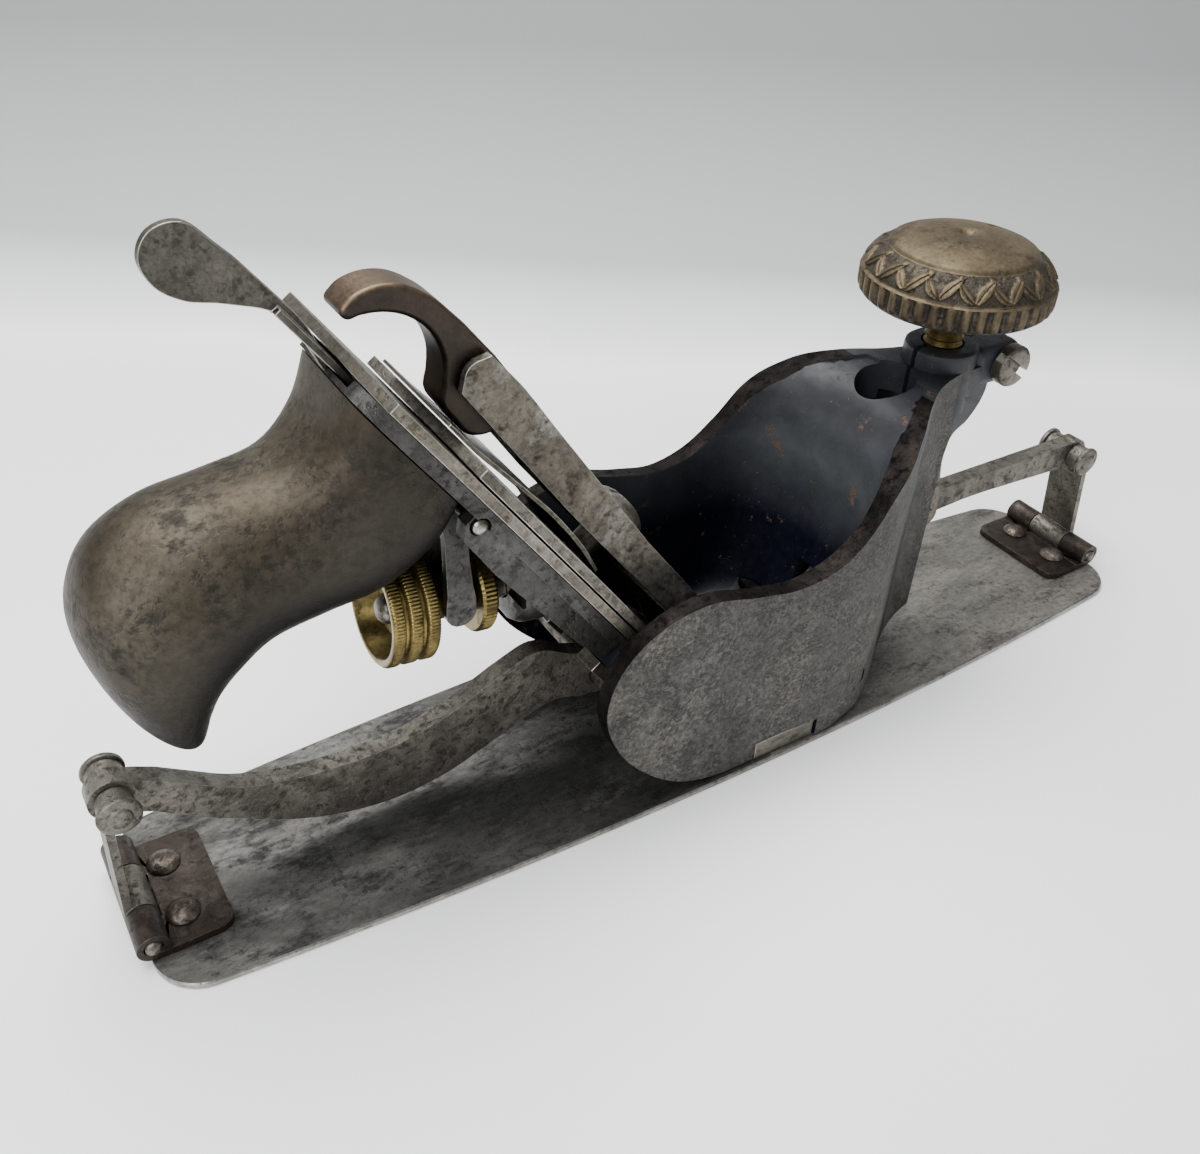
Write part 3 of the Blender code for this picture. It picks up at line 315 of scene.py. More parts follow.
def dress(obj, node, body, slot, materials, bevel=0.3, angle=32, segments=3):
    """Finishes a look that replaces one node, with its sharp edges rounded."""
    set_materials(obj, *materials)
    tidy_faces(obj)
    if bevel:
        round_edges(obj, bevel, segments, angle)
        smooth(obj, 50)
        weigh_normals(obj)
    else:
        smooth(obj, angle)
    assign(obj, body, slot, node)


def dress_smooth(obj, node, body, slot, *materials, angle=32):
    """Finishes a look that needs no rounding."""
    set_materials(obj, *materials)
    smooth(obj, angle)
    assign(obj, body, slot, node)


def copy_node(node):
    """A new object with the CAD node's mesh, in the same place."""
    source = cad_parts[node]
    obj = new_object(node + "_look", source.data.copy())
    obj.matrix_world = source.matrix_world.copy()
    bpy.context.view_layer.update()
    obj.data.transform(obj.matrix_world)
    obj.matrix_world = Matrix.Identity(4)
    return obj


# ---------------------------------------------------------------- materials

class Nodes:
    """Short calls that add and link nodes of one material."""

    def __init__(self, name):
        self.material = bpy.data.materials.new(name)
        self.material.use_nodes = True
        self.tree = self.material.node_tree
        self.shader = self.tree.nodes["Principled BSDF"]
        place = self.tree.nodes.new("ShaderNodeTexCoord")
        self.object = place.outputs["Object"]

    def link(self, source, target):
        self.tree.links.new(source, target)

    def put(self, kind, sockets=(), **settings):
        node = self.tree.nodes.new(kind)
        for key, value in settings.items():
            setattr(node, key, value)
        for key, value in dict(sockets).items():
            if isinstance(value, bpy.types.NodeSocket):
                self.link(value, node.inputs[key])
            else:
                node.inputs[key].default_value = value
        return node

    def stretch(self, scale):
        return self.put("ShaderNodeMapping", {"Vector": self.object, "Scale": scale}).outputs[0]

    def noise(self, scale, detail=5, rough=0.6, vector=None, distort=0.0):
        node = self.put("ShaderNodeTexNoise", {
            "Vector": vector or self.object, "Scale": scale, "Detail": detail, "Roughness": rough,
            "Distortion": distort,
        })
        return node.outputs["Fac"]

    def ramp(self, value, *stops):
        node = self.put("ShaderNodeValToRGB", {"Fac": value})
        while len(node.color_ramp.elements) < len(stops):
            node.color_ramp.elements.new(0.5)
        for element, (place, colour) in zip(node.color_ramp.elements, stops):
            element.position = place
            element.color = (*colour, 1) if isinstance(colour, tuple) else (colour, colour, colour, 1)
        return node.outputs["Color"]

    def mix(self, amount, one, two, blend="MIX"):
        node = self.put("ShaderNodeMix", {0: amount}, data_type="RGBA", blend_type=blend)
        for index, value in ((6, one), (7, two)):
            if isinstance(value, bpy.types.NodeSocket):
                self.link(value, node.inputs[index])
            else:
                node.inputs[index].default_value = (*value, 1)
        return node.outputs[2]

    def math(self, operation, one, two=0.0, clamp=False):
        node = self.put("ShaderNodeMath", {0: one, 1: two}, operation=operation, use_clamp=clamp)
        return node.outputs[0]

    def upward(self):
        """How far the surface faces up, from -1 to 1."""
        normal = self.put("ShaderNodeNewGeometry").outputs["Normal"]
        return self.put("ShaderNodeSeparateXYZ", {0: normal}).outputs[2]

    def height(self):
        return self.put("ShaderNodeSeparateXYZ", {0: self.object}).outputs[2]

    def roughness(self, value, low, high, smoothest, roughest):
        """Runs the roughness from smoothest to roughest while the value goes from low to high."""
        spread = self.put("ShaderNodeMapRange", {0: value, 1: low, 2: high, 3: smoothest, 4: roughest})
        self.link(spread.outputs[0], self.shader.inputs["Roughness"])

    def bump(self, height, strength, distance, normal=None):
        sockets = {"Height": height, "Strength": strength, "Distance": distance * MM}
        if normal:
            sockets["Normal"] = normal
        return self.put("ShaderNodeBump", sockets).outputs[0]


def aged(name, light, dark, stain, rough=(0.3, 0.55), metallic=1.0, scale=55.0, stain_amount=0.5,
         pits=0.5, pit_scale=700.0, stretch=None, bump=0.06, worn=None, grain=0.35, under=1.0):
    """Old metal: large tone patches, darker stains, pits and a fine grain.

    worn is the colour of rubbed patches, and under is painted shade: the faces that look down are darkened down
    to that factor.
    """
    n = Nodes(name)
    where = n.stretch(stretch) if stretch else n.object
    patches = n.noise(scale, 7, 0.66, where, 0.6)
    blot = n.noise(scale * 2.7, 8, 0.72, where)
    fine = n.noise(scale * 16, 6, 0.78, where)
    speck = n.noise(pit_scale, 3, 0.6)
    colour = n.mix(n.ramp(patches, (0.4, 0.0), (0.62, 1.0)), dark, light)
    if worn:
        rubbed = n.ramp(n.noise(scale * 0.8, 8, 0.7, where, 0.8), (0.52, 0.0), (0.66, 1.0))
        colour = n.mix(n.math("MULTIPLY", rubbed, 0.8), colour, worn)
    grains = n.ramp(fine, (0.32, 1 - grain * 1.2), (0.5, 1.0), (0.68, 1 + grain))
    colour = n.mix(1.0, colour, grains, "MULTIPLY")
    # Painted shade on the faces that look down.
    if under < 1:
        shaded = n.ramp(n.math("ADD", n.math("MULTIPLY", n.upward(), 0.5), 0.5), (0.3, under), (0.72, 1.0))
        colour = n.mix(1.0, colour, shaded, "MULTIPLY")
    low, high = 0.72 - 0.3 * stain_amount, 0.84 - 0.3 * stain_amount
    stains = n.ramp(blot, (low, 0.0), (high, 1.0))
    colour = n.mix(n.math("MULTIPLY", stains, 0.85), colour, stain)
    pit = n.ramp(speck, (0.60 - 0.1 * pits, 0.0), (0.72 - 0.1 * pits, 1.0))
    pit = n.math("MULTIPLY", pit, n.ramp(blot, (0.38, 0.0), (0.58, 1.0)))
    colour = n.mix(n.math("MULTIPLY", pit, 0.8), colour, stain)
    n.link(colour, n.shader.inputs["Base Color"])
    n.shader.inputs["Metallic"].default_value = metallic
    blend = n.math("ADD", n.math("MULTIPLY", stains, 0.5), n.math("MULTIPLY", fine, 0.5), True)
    n.roughness(blend, 0.15, 0.8, *rough)
    height = n.math("SUBTRACT", n.math("MULTIPLY", fine, 0.8), n.math("MULTIPLY", pit, 1.0))
    n.link(n.bump(height, 0.9, bump), n.shader.inputs["Normal"])
    return n.material


def japanning():
    """Satin black enamel with a painted sheen at middle heights and painted shade darkening the bottom, chipped
    down to brown iron.
    """
    n = Nodes("black_japanning")
    tone = n.noise(70, 5, 0.6)
    small = n.noise(420, 6, 0.7)
    chips = n.ramp(n.noise(150, 9, 0.74), (0.61, 0.0), (0.64, 1.0))
    specks = n.ramp(n.noise(800, 4, 0.6), (0.66, 0.0), (0.72, 1.0))
    worn = n.math("MAXIMUM", chips, n.math("MULTIPLY", specks, 0.8), True)
    # Painted sheen and shade by height: near black at the bottom, lightest at about 52 mm, a little darker again
    # at the top.
    sheen_and_shade = n.put("ShaderNodeMapRange", {0: n.height(), 1: 32 * MM, 2: 68 * MM, 3: 0.0, 4: 1.0}).outputs[0]
    colour = n.ramp(sheen_and_shade, (0.0, (0.0025, 0.003, 0.009)), (0.55, (0.05, 0.055, 0.06)),
                    (1.0, (0.02, 0.021, 0.025)))
    colour = n.mix(1.0, colour, n.ramp(tone, (0.3, 0.6), (0.7, 1.25)), "MULTIPLY")
    n.link(n.mix(worn, colour, (0.085, 0.052, 0.034)), n.shader.inputs["Base Color"])
    n.roughness(n.math("MAXIMUM", worn, small, True), 0.35, 1.0, 0.36, 0.75)
    relief = n.math("SUBTRACT", n.math("MULTIPLY", small, 0.6), n.math("MULTIPLY", worn, 0.9))
    n.link(n.bump(relief, 0.7, 0.1, n.bump(tone, 0.5, 0.5)), n.shader.inputs["Normal"])
    n.shader.inputs["Specular IOR Level"].default_value = 0.27
    return n.material


def cam_iron():
    """Brown iron with painted light and shade: lighter where it faces up, darker on the flanks and darkest in
    the hollow.
    """
    n = Nodes("cam_iron")
    patches = n.noise(70, 7, 0.66, distort=0.6)
    fine = n.noise(900, 6, 0.78)
    # Painted light and shade: the colour follows how far each face turns up, with random patches mixed in.
    lit_facing = n.math("ADD", n.upward(), n.math("MULTIPLY", patches, 0.5))
    colour = n.mix(n.ramp(lit_facing, (0.12, 0.0), (0.85, 1.0)), (0.026, 0.023, 0.021), (0.125, 0.089, 0.06))
    colour = n.mix(1.0, colour, n.ramp(fine, (0.3, 0.6), (0.5, 0.95), (0.72, 1.3)), "MULTIPLY")
    n.link(colour, n.shader.inputs["Base Color"])
    n.shader.inputs["Metallic"].default_value = 0.9
    n.roughness(fine, 0.2, 0.8, 0.3, 0.55)
    n.link(n.bump(fine, 0.6, 0.05), n.shader.inputs["Normal"])
    return n.material


def make_materials():
    """Old metals. The three colours are light patches, dark patches, and stains with pits."""
    return {
        "sole": aged("sole_steel", (0.118, 0.115, 0.107), (0.062, 0.061, 0.057), (0.025, 0.024, 0.023),
            (0.46, 0.7), metallic=0.75, scale=44, stain_amount=0.75, pits=0.8, stretch=(0.6, 1.4, 1.4),
            bump=0.08, worn=(0.19, 0.187, 0.178)),
        "sole_front": aged("sole_front_steel", (0.235, 0.227, 0.205), (0.15, 0.145, 0.131),
            (0.06, 0.056, 0.05), (0.46, 0.7), metallic=0.75, scale=44, stain_amount=0.6, pits=0.8,
            stretch=(0.6, 1.4, 1.4), bump=0.08, worn=(0.26, 0.25, 0.225)),
        "sole_edge": aged("sole_edge_steel", (0.34, 0.33, 0.3), (0.2, 0.19, 0.17), (0.08, 0.07, 0.06)),
        "steel": aged("worn_steel", (0.158, 0.143, 0.116), (0.0952, 0.085, 0.068), (0.0399, 0.0314, 0.0238),
            (0.36, 0.62), metallic=0.85, scale=70, stain_amount=0.55, pits=0.9, worn=(0.28, 0.268, 0.235)),
        "dull": aged("dull_steel", (0.1, 0.093, 0.077), (0.062, 0.057, 0.047), (0.028, 0.024, 0.019),
            (0.4, 0.64), metallic=0.8, scale=90, stain_amount=0.6, pits=1.0),
        "steel_edge": aged("worn_steel_edge", (0.38, 0.365, 0.33), (0.24, 0.23, 0.2), (0.1, 0.085, 0.07),
            (0.28, 0.45), scale=80, stain_amount=0.3, pits=0.3),
        "pitted": aged("pitted_steel", (0.178, 0.166, 0.14), (0.094, 0.087, 0.074), (0.038, 0.031, 0.025),
            (0.42, 0.68), metallic=0.8, scale=150, stain_amount=0.55, pits=1.2, bump=0.12,
            worn=(0.18, 0.172, 0.15)),
        "frog": aged("frog_iron", (0.088, 0.084, 0.078), (0.04, 0.039, 0.037), (0.015, 0.014, 0.013),
            (0.34, 0.6), metallic=0.75, scale=60, stain_amount=0.5, pits=1.0, bump=0.08),
        "rust": aged("brown_patina", (0.037, 0.027, 0.021), (0.018, 0.012, 0.009), (0.007, 0.005, 0.004),
            (0.42, 0.7), metallic=0.6, scale=120, stain_amount=0.6, pits=0.8, worn=(0.08, 0.064, 0.052)),
        "rust_edge": aged("brown_patina_edge", (0.24, 0.21, 0.18), (0.11, 0.085, 0.066),
            (0.04, 0.028, 0.02), (0.34, 0.55), metallic=0.85, scale=150, stain_amount=0.5),
        "rivet": aged("rivet_patina", (0.15, 0.125, 0.105), (0.05, 0.037, 0.03), (0.02, 0.015, 0.012),
            (0.34, 0.55), metallic=0.8, scale=260, stain_amount=0.5, worn=(0.27, 0.25, 0.22)),
        # The grip's faces that look down get strong painted shade.
        "grip": aged("grip_iron", (0.07, 0.06, 0.043), (0.043, 0.034, 0.022), (0.017, 0.015, 0.011),
            (0.48, 0.68), metallic=0.7, scale=40, stain_amount=0.6, pits=1.1, bump=0.06, under=0.04),
        "cheek": aged("ground_cast_iron", (0.078, 0.075, 0.067), (0.052, 0.05, 0.045), (0.02, 0.019, 0.017),
            (0.5, 0.72), metallic=0.65, scale=66, stain_amount=0.35, pits=1.5, pit_scale=1500, bump=0.2,
            grain=0.95, worn=(0.105, 0.098, 0.082)),
        "rim": aged("dark_rim", (0.023, 0.019, 0.017), (0.009, 0.008, 0.008), (0.005, 0.004, 0.004),
            (0.5, 0.75), metallic=1.0, scale=140, stain_amount=0.7),
        "rim_edge": aged("worn_rim", (0.16, 0.144, 0.12), (0.056, 0.048, 0.04), (0.02, 0.017, 0.014),
            (0.34, 0.6), metallic=0.85, scale=200, stain_amount=0.8),
        # The knob's faces that look down get some painted shade.
        "knob": aged("knob_patina", (0.137, 0.107, 0.064), (0.078, 0.06, 0.036), (0.033, 0.025, 0.016),
            (0.52, 0.72), metallic=0.8, scale=60, stain_amount=0.6, pits=0.5, bump=0.04, under=0.6),
        "knob_dark": aged("knob_ground", (0.07, 0.057, 0.042), (0.035, 0.028, 0.02), (0.015, 0.012, 0.01),
            (0.45, 0.7), metallic=0.7, scale=160, stain_amount=0.5, pits=1.5, bump=0.14, grain=0.7),
        "brass": aged("aged_brass", (0.221, 0.167, 0.057), (0.119, 0.087, 0.031), (0.039, 0.028, 0.013),
            (0.28, 0.5), metallic=0.9, scale=90, stain_amount=0.6, pits=0.4, bump=0.03),
        "cam": cam_iron(),
        "black": japanning(),
    }


M = make_materials()


# ---------------------------------------------------------------- sole and hinges

def sole_half_width(x):
    width = 21.9 + 6.1 * (1 - (x / SOLE_REACH) ** 2)
    past = abs(x) - (SOLE_REACH - SOLE_CORNER)
    if past > 0:
        width -= SOLE_CORNER - math.sqrt(max(SOLE_CORNER ** 2 - past ** 2, 0))
    return width


def sole_rings(start, end):
    """Cross-sections of the plate from its middle to one end, close together at the round corner."""
    side = 1 if end > start else -1
    pace, soft, top = 3.1, 0.3, SOLE_THICK
    stations = [start + side * pace * i for i in range(int(abs(end - start) // pace) - 2)]
    stations = [x for x in stations if abs(x) < 117.5]
    stations += [side * (118.2 + SOLE_CORNER * math.sin(math.radians(turn))) for turn in range(0, 85, 6)]
    stations.append(end)
    rings = []
    for x in stations:
        w = sole_half_width(x)
        low = [(x, -w + 2 * w * k / 8, 0) for k in range(9)]
        low[0], low[8] = (x, -w + soft, 0), (x, w - soft, 0)
        high = [(x, w - 2 * w * k / 8, top) for k in range(9)]
        high[0], high[8] = (x, w - soft, top), (x, -w + soft, top)
        rings.append(low + [(x, w, soft), (x, w, top - soft)] + high + [(x, -w, top - soft), (x, -w, soft)])
    return rings


def make_sole():
    """Two halves from the mouth to the toe and to the heel."""
    for name, end, body, material, bend, replaced in (
        ("sole_front_skin", SOLE_REACH, "toe_end", "sole_front", (16, 86), ("sole_toe", "sole_middle")),
        ("sole_back_skin", -SOLE_REACH, "heel_end", "sole", (-6, -80), ("sole_heel",)),
    ):
        skin = loft(name, sole_rings(3.6, end))
        slope = [(3.06, -1), (6.0, -1), (6.0, 3), (-4.38, 3)]
        cut(skin, plate("mouth", slope, -THROAT_HALF, THROAT_HALF, SIDE, steps=1))
        set_materials(skin, material, "sole_edge")
        for face in skin.data.polygons:
            edge_on = abs(face.normal.z) < 0.9
            face.material_index = 1 if edge_on and abs(face.center.y) > 0.01 else 0
        smooth(skin, 30)
        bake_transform(skin)
        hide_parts(*replaced)


def make_hinge(end, place, joint):
    side = 1 if place[0] > 0 else -1
    inner, outer = place[0] - side * 14.8, place[0] - side * 3.4
    wide, corner = 13.4, 2.6
    outline = [(outer, -wide, 1), (inner + side * corner, -wide, 1),
               (inner + side * corner * 0.3, -wide + corner * 0.3), (inner, -wide + corner, 1),
               (inner, wide - corner, 1), (inner + side * corner * 0.3, wide - corner * 0.3),
               (inner + side * corner, wide, 1), (outer, wide, 1)]
    leaf = plate(end + "_leaf", outline, 1.8, 3.3, steps=4)
    for left in (-1, 1):
        near, far = sorted((left * 5.5, left * wide))
        reach = sorted((outer - side * 1.0, place[0]))
        join(leaf, box("tongue", (reach[0], near, 1.9), (reach[1], far, 3.35)),
             cross_pin("knuckle", 3.0, place, near, far, 40))
    cut(leaf, cross_pin("bore", 1.8, place, -20, 20, 32))
    dress(leaf, end + "_hinge_leaf", end + "_end", "rusty_steel", ("rust", "rust_edge"), 0.28)
    profile = [(0, 14.2), (0.9, 14.1), (1.5, 13.6), (1.5, -13.6), (0.9, -14.1), (0, -14.2)]
    pin = turned(end + "_pin", profile, cross_matrix(place), 32)
    dress_smooth(pin, end + "_hinge_pin", end + "_end", "bright_steel", "steel", angle=60)
    for left, word in ((-1, "right"), (1, "left")):
        centre = Matrix.Translation(Vector((place[0] - side * 6.8, left * 6.6, 3.6)) * MM)
        head = [(0, 1.35), (1.0, 1.3), (1.9, 1.1), (2.6, 0.7), (3.1, 0.2), (3.2, 0), (0, 0)]
        rivet = turned(end + "_rivet_head_" + word, head, centre, 40)
        dress_smooth(rivet, end + "_rivet_" + word, end + "_end", "rusty_steel", "rivet", angle=60)
    rise = Vector((joint[0] - place[0], 0, joint[1] - place[1]))
    up, across = rise.normalized(), Vector((0, 1, 0))
    upright = frame_matrix(across.cross(up), across, up, (place[0], 0, place[1]))
    near, far = sorted((1.2 * side, 2.75 * side))
    strap = box(end + "_strap", (near, -5.1, -0.6), (far, 5.1, rise.length + 0.7), upright)
    for radius, spot, bore in ((3.0, place, 1.8), (3.3, joint, 2.3)):
        eye = cross_pin("eye", radius, spot, -5.2, 5.2, 44)
        cut(eye, cross_pin("bore", bore, spot, -9, 9, 36))
        cut(strap, cross_pin("bore", bore + 0.1, spot, -9, 9, 36))
        join(strap, eye)
    cut(strap, box("fork", (-5, -2.3, rise.length - 6.5), (5, 2.3, rise.length + 6), upright))
    dress(strap, end + "_link", end + "_strap", "rusty_steel", ("pitted", "steel_edge"), 0.2)
    profile = [(0, 7.4), (1.6, 7.35), (2.0, 7.1), (2.2, 6.8), (3.3, 6.75), (3.8, 6.5), (3.9, 6.1),
               (3.8, 5.6), (3.6, 5.5), (1.9, 5.5)]
    profile += [(r, -h) for r, h in reversed(profile)]
    head = turned(end + "_strap_pin", profile, cross_matrix(joint), 40)
    dress_smooth(head, end + "_arm_pin", end + "_strap", "bright_steel", "pitted", angle=50)


# ---------------------------------------------------------------- body casting

BODY_PLAN = [(-48, 27, 1), (0, 27), (23, 27), (30.5, 25.2), (37, 21.2), (44.5, 15.4), (51.5, 11), (58, 8.6)]
BODY_SIDE = [
    (20, 2.0, 1), (-4, 2.0, 1), (-12, 2.5), (-19.5, 4.6), (-30.6, 12.9), (-37.6, 22.5), (-40.6, 33.5),
    (-37.4, 43),
    (-30, 49.2), (-19, 51.6), (-6.5, 48.8), (5, 47.0), (14.5, 49.4), (21.5, 54.8), (27.5, 61.8),
    (33, 66.4), (39.5, 70.4), (47, 72.4), (54, 72.6), (70, 72.6, 1), (71, 66), (67, 59.5),
    (62.5, 56.8), (61.2, 52, 1), (61.2, 9, 1),
]
THROAT_FRONT = [               # height, and how far forward the throat reaches there
    (-3, 9.0), (7.0, 9.0), (7.6, 19.0), (9.5, 25.0), (14, 29.0), (22, 31.6), (31, 33.2), (40, 34.2),
    (50, 34.5), (58, 34.6), (63, 35.3), (66.3, 36.9), (68.4, 39.0), (69.9, 41.6), (71, 45.0), (71.7, 49.5),
    (90, 49.5),
]
THROAT_BACK = -60
THROAT_PLAN = [                # how far forward, and half the width that the throat may have there
    (THROAT_BACK, THROAT_HALF), (22, THROAT_HALF), (27, 22.3), (32, 19.6), (38, 15.6), (44.5, 11.6), (51.5, 7.6),
]


def along(line, at):
    """Value at one place of a line of (place, value) points."""
    for (a, low), (b, high) in zip(line, line[1:]):
        if at <= b:
            return low + (high - low) * max(at - a, 0) / (b - a)
    return line[-1][1]


def make_throat():
    """The hollow behind the nose: rounded sections that roll out onto the deck."""
    heights = [height for height, front in THROAT_FRONT]
    levels = [z for low, high in zip(heights, heights[1:]) for z in (low, (low + high) / 2)]
    count, depth, square = 48, 17, 0.8
    rings = []
    for z in levels + heights[-1:]:
        front = along(THROAT_FRONT, z)
        ring = [(THROAT_BACK, -THROAT_HALF, z)]
        for i in range(count + 1):
            turn = math.pi * (i / count - 0.5)
            c, s = math.cos(turn), math.sin(turn)
            x = front - depth + depth * abs(c) ** square
            aside = min(THROAT_HALF * abs(s) ** square, along(THROAT_PLAN, x))
            ring.append((x, math.copysign(aside, s), z))
        ring.append((THROAT_BACK, THROAT_HALF, z))
        rings.append(ring)
    return loft("throat", rings)


def make_body():
    body = plate("body_shell", BODY_SIDE, -28, 28, SIDE, steps=8)
    nose = [(66, -7.6), (71, -7.2, 1), (71, 7.2, 1), (66, 7.6)]
    right = [(p[0], -p[1], *p[2:]) for p in BODY_PLAN]
    keep(body, plate("plan", right + nose + BODY_PLAN[::-1], 0, 90, steps=8))
    profile = [(0, 77.0), (7.2, 77.0), (8.0, 76.4), (8.2, 75.4), (8.2, 62), (0, 62)]
    lugs = box("lugs", (66, -7.6, 66.8), (79.6, 6.9, 76.4))
    round_edges(lugs, 2.2, 4)
    join(body, turned("boss", profile, KNOB_AXIS), lugs)
    cut(body, make_throat())
    rest = [bed_point(7.2, FROG_BACK), bed_point(22, FROG_BACK), (-19.5, 11.5), (-19.5, 2.7)]
    join(body, plate("rest", rest, -25.2, 25.2, SIDE, steps=1),
         box("bar", (39, -25.2, FROG_BACK - 3.9), (49, 25.2, FROG_BACK), BED_FACE))
    notch = box("notch", (-1.3, -40, -2), (15.8, 40, 6.8))
    pocket = plate("pocket", [(38.5, -15.5), (45, -10.6), (52, -6.4), (52, 6.4), (45, 10.6), (38.5, 15.5)],
                   -5, 63, steps=1)
    slot = [
        (20.5, 4.6), (30, 4.6), (45, -3), (80, -3), (80, 46), (52, 46), (34, 28), (24, 17.5), (20.5, 13.5),
    ]
    cut(body, notch, pocket, plate("slot", slot, -2.8, 2.8, SIDE, steps=1))
    cut(body, box("channel", (50, -6.3, -3), (90, 6.3, 65.5)), cylinder("bore", 4.8, 50, 90, KNOB_AXIS),
        cylinder("relief", 6.6, 55, 90, Matrix.Translation((46 * MM, 0, 0))))
    cut(body, box("slit", (46, -0.6, 50), (90, 0.6, 90)), cross_pin("clamp_bore", 2.4, CLAMP, -20, 20),
        cross_pin("front_bore", 2.8, FRONT_SHAFT, -25.5, 40),
        cross_pin("rear_bore", 2.8, REAR_SHAFT, -25.5, 40))
    set_materials(body, "black", "rim_edge", "cheek", "rim")
    tidy_faces(body, 0.03, 1.5)
    round_edges(body, 0.55, 3, 38)
    cut(body, box("side_play", (0.5, -23.5, -3.0), (62, 23.5, 4.5), BED_FACE))
    paint_body(body)
    smooth(body, 40)
    weigh_normals(body)
    assign(body, "body", "japanned_iron", "body_casting")


def paint_body(body):
    """Grey cheeks outside, a dark rim on top of them with a worn edge, and enamel everywhere else."""
    enamel, worn_edge, cheek, rim = range(4)
    for face in body.data.polygons:
        c, n = face.center / MM, face.normal
        outward = n.y * c.y > 0
        past_throat = abs(c.y) - along(THROAT_PLAN, c.x)
        if face.material_index == worn_edge:
            face.material_index = worn_edge if past_throat > -0.4 and c.z < 60 else enamel
        elif outward and c.x < 44 and abs(n.y) > 0.25 and c.z < 66 and past_throat > 0.5:
            face.material_index = cheek
        elif (outward or n.x > 0.5) and 44 <= c.x < 61.5 and abs(c.y) > 6.4 and c.z < 56:
            face.material_index = cheek
        elif abs(n.y) < 0.6 and c.x < 46 and past_throat > -0.3 and 3 < c.z < 74:
            face.material_index = rim


# ---------------------------------------------------------------- grip and cutter

def smooth_rows(rows, steps):
    """Rows of points with Catmull-Rom rows added between them."""
    made = []
    count = len(rows)
    for i in range(count - 1):
        p = [rows[max(i - 1, 0)], rows[i], rows[i + 1], rows[min(i + 2, count - 1)]]
        for k in range(steps):
            t = k / steps
            row = []
            for a, b, c, d in zip(*p):
                a, b, c, d = Vector(a), Vector(b), Vector(c), Vector(d)
                row.append(0.5 * (2 * b + (c - a) * t + (2 * a - 5 * b + 4 * c - d) * t ** 2
                                  + (3 * b - a - 3 * c + d) * t ** 3))
            made.append(row)
    made.append([Vector(point) for point in rows[-1]])
    return made


def make_grip():
    """An oval loft: each section's top, bottom, half width and squareness."""
    sections = [
        (bed_point(130.2, FROG_BACK), bed_point(101.6, FROG_BACK), 15.2, 4.5),
        ((-82.8, 94.2), (-66.0, 70.6), 14.9, 3.4), ((-89.6, 89.0), (-74.4, 63.4), 14.4, 2.6),
        ((-99.8, 87.6), (-84.4, 60.8), 14.4, 2.2), ((-110.0, 86.2), (-93.4, 58.8), 15.2, 2),
        ((-118.4, 81.4), (-99.2, 55.4), 16.0, 2), ((-122.8, 74.4), (-103.4, 51.6), 16.0, 2),
        ((-123.9, 66.4), (-105.8, 47.8), 15.6, 2), ((-121.4, 56.2), (-107.0, 44.8), 13.8, 2),
        ((-117.0, 47.6), (-107.8, 42.4), 10.0, 2), ((-112.8, 41.6), (-109.0, 40.2), 4.6, 2),
        ((-111.4, 40.2), (-110.2, 39.8), 1.2, 2),
    ]
    count = 64
    rings = []
    for top, bottom, half_width, power in sections:
        middle = ((top[0] + bottom[0]) / 2, (top[1] + bottom[1]) / 2)
        rise = ((top[0] - bottom[0]) / 2, (top[1] - bottom[1]) / 2)
        ring = []
        for i in range(count):
            c, s = math.cos(2 * math.pi * i / count), math.sin(2 * math.pi * i / count)
            high = math.copysign(abs(c) ** (2 / power), c)
            aside = math.copysign(abs(s) ** (2 / power), s)
            ring.append((middle[0] + rise[0] * high, half_width * aside, middle[1] + rise[1] * high))
        rings.append(ring)
    grip = loft("grip", smooth_rows(rings, 6))
    cut(grip, cylinder("wheel_space", 11.6, -6.5, 24, STUD, 64),
        box("yoke_space", (-66.5, -10, 40), (-50, 10, 90)))
    dress_smooth(grip, "handle", "body", "handle_iron", "grip", angle=38)


def make_cutter():
    bevel = 2.0 / math.tan(math.radians(25))
    side = [(0.0, 0.0), (132.0, 0.0), (132.0, -2.0), (bevel, -2.0)]
    iron = plate("iron_blade", side, -IRON_HALF, IRON_HALF, BED_SIDE, steps=1)
    cut(iron, box("slot", (52, -5.4, -9), (120, 5.4, 9), BED_FACE),
        cylinder("eye", 8.6, -9, 9, BED_FACE @ shift(56, 0)))
    dress(iron, "iron", "cutter", "bright_steel", ("steel", "steel_edge"), 0.18)
    side = [
        (1.4, 0.3, 1), (2.6, 1.5), (4, 2.4), (7.5, 3.3), (11, 3.0), (14.5, 2.3, 1), (112, 2.3, 1),
        (112, 0.3, 1), (14, 0.3, 1), (11, 1.3), (8, 1.7), (5, 1.2), (2.2, 0.3, 1),
    ]
    cap = plate("cap_iron_blade", side, -IRON_HALF, IRON_HALF, BED_SIDE, steps=4)
    cut(cap, box("slot", (57, -3.6, -9), (68, 3.6, 9), BED_FACE),
        box("tongue", (96.8, -3.2, -9), (100.6, 3.2, 9), BED_FACE),
        cylinder("thread", 2.8, -9, 9, BED_FACE @ shift(CHIP_SCREW_U, 0)))
    dress(cap, "cap_iron", "cutter", "rusty_steel", ("pitted", "steel_edge"), 0.22)
    top = [(116, 3.2, 1), (108, 3.4), (96, 4.5), (84, 5.0), (74, 4.4), (68, 3.3, 1)]
    under = [(68, 2.55, 1), (74, 3.5), (84, 4.1), (96, 3.6), (108, 2.6), (116, 2.55, 1)]
    leaf = plate("leaf", top + under, -13, 13, BED_SIDE, steps=5)
    dress(leaf, "leaf_spring", "body", "bright_steel", ("steel", "steel_edge"), 0.15)


def tapered(name, half):
    """A plate on the bed, from the outline of its left half."""
    plan = half + [(p[0], -p[1], *p[2:]) for p in reversed(half)]
    return plate(name, plan, -20, 30, BED_FACE, steps=7)


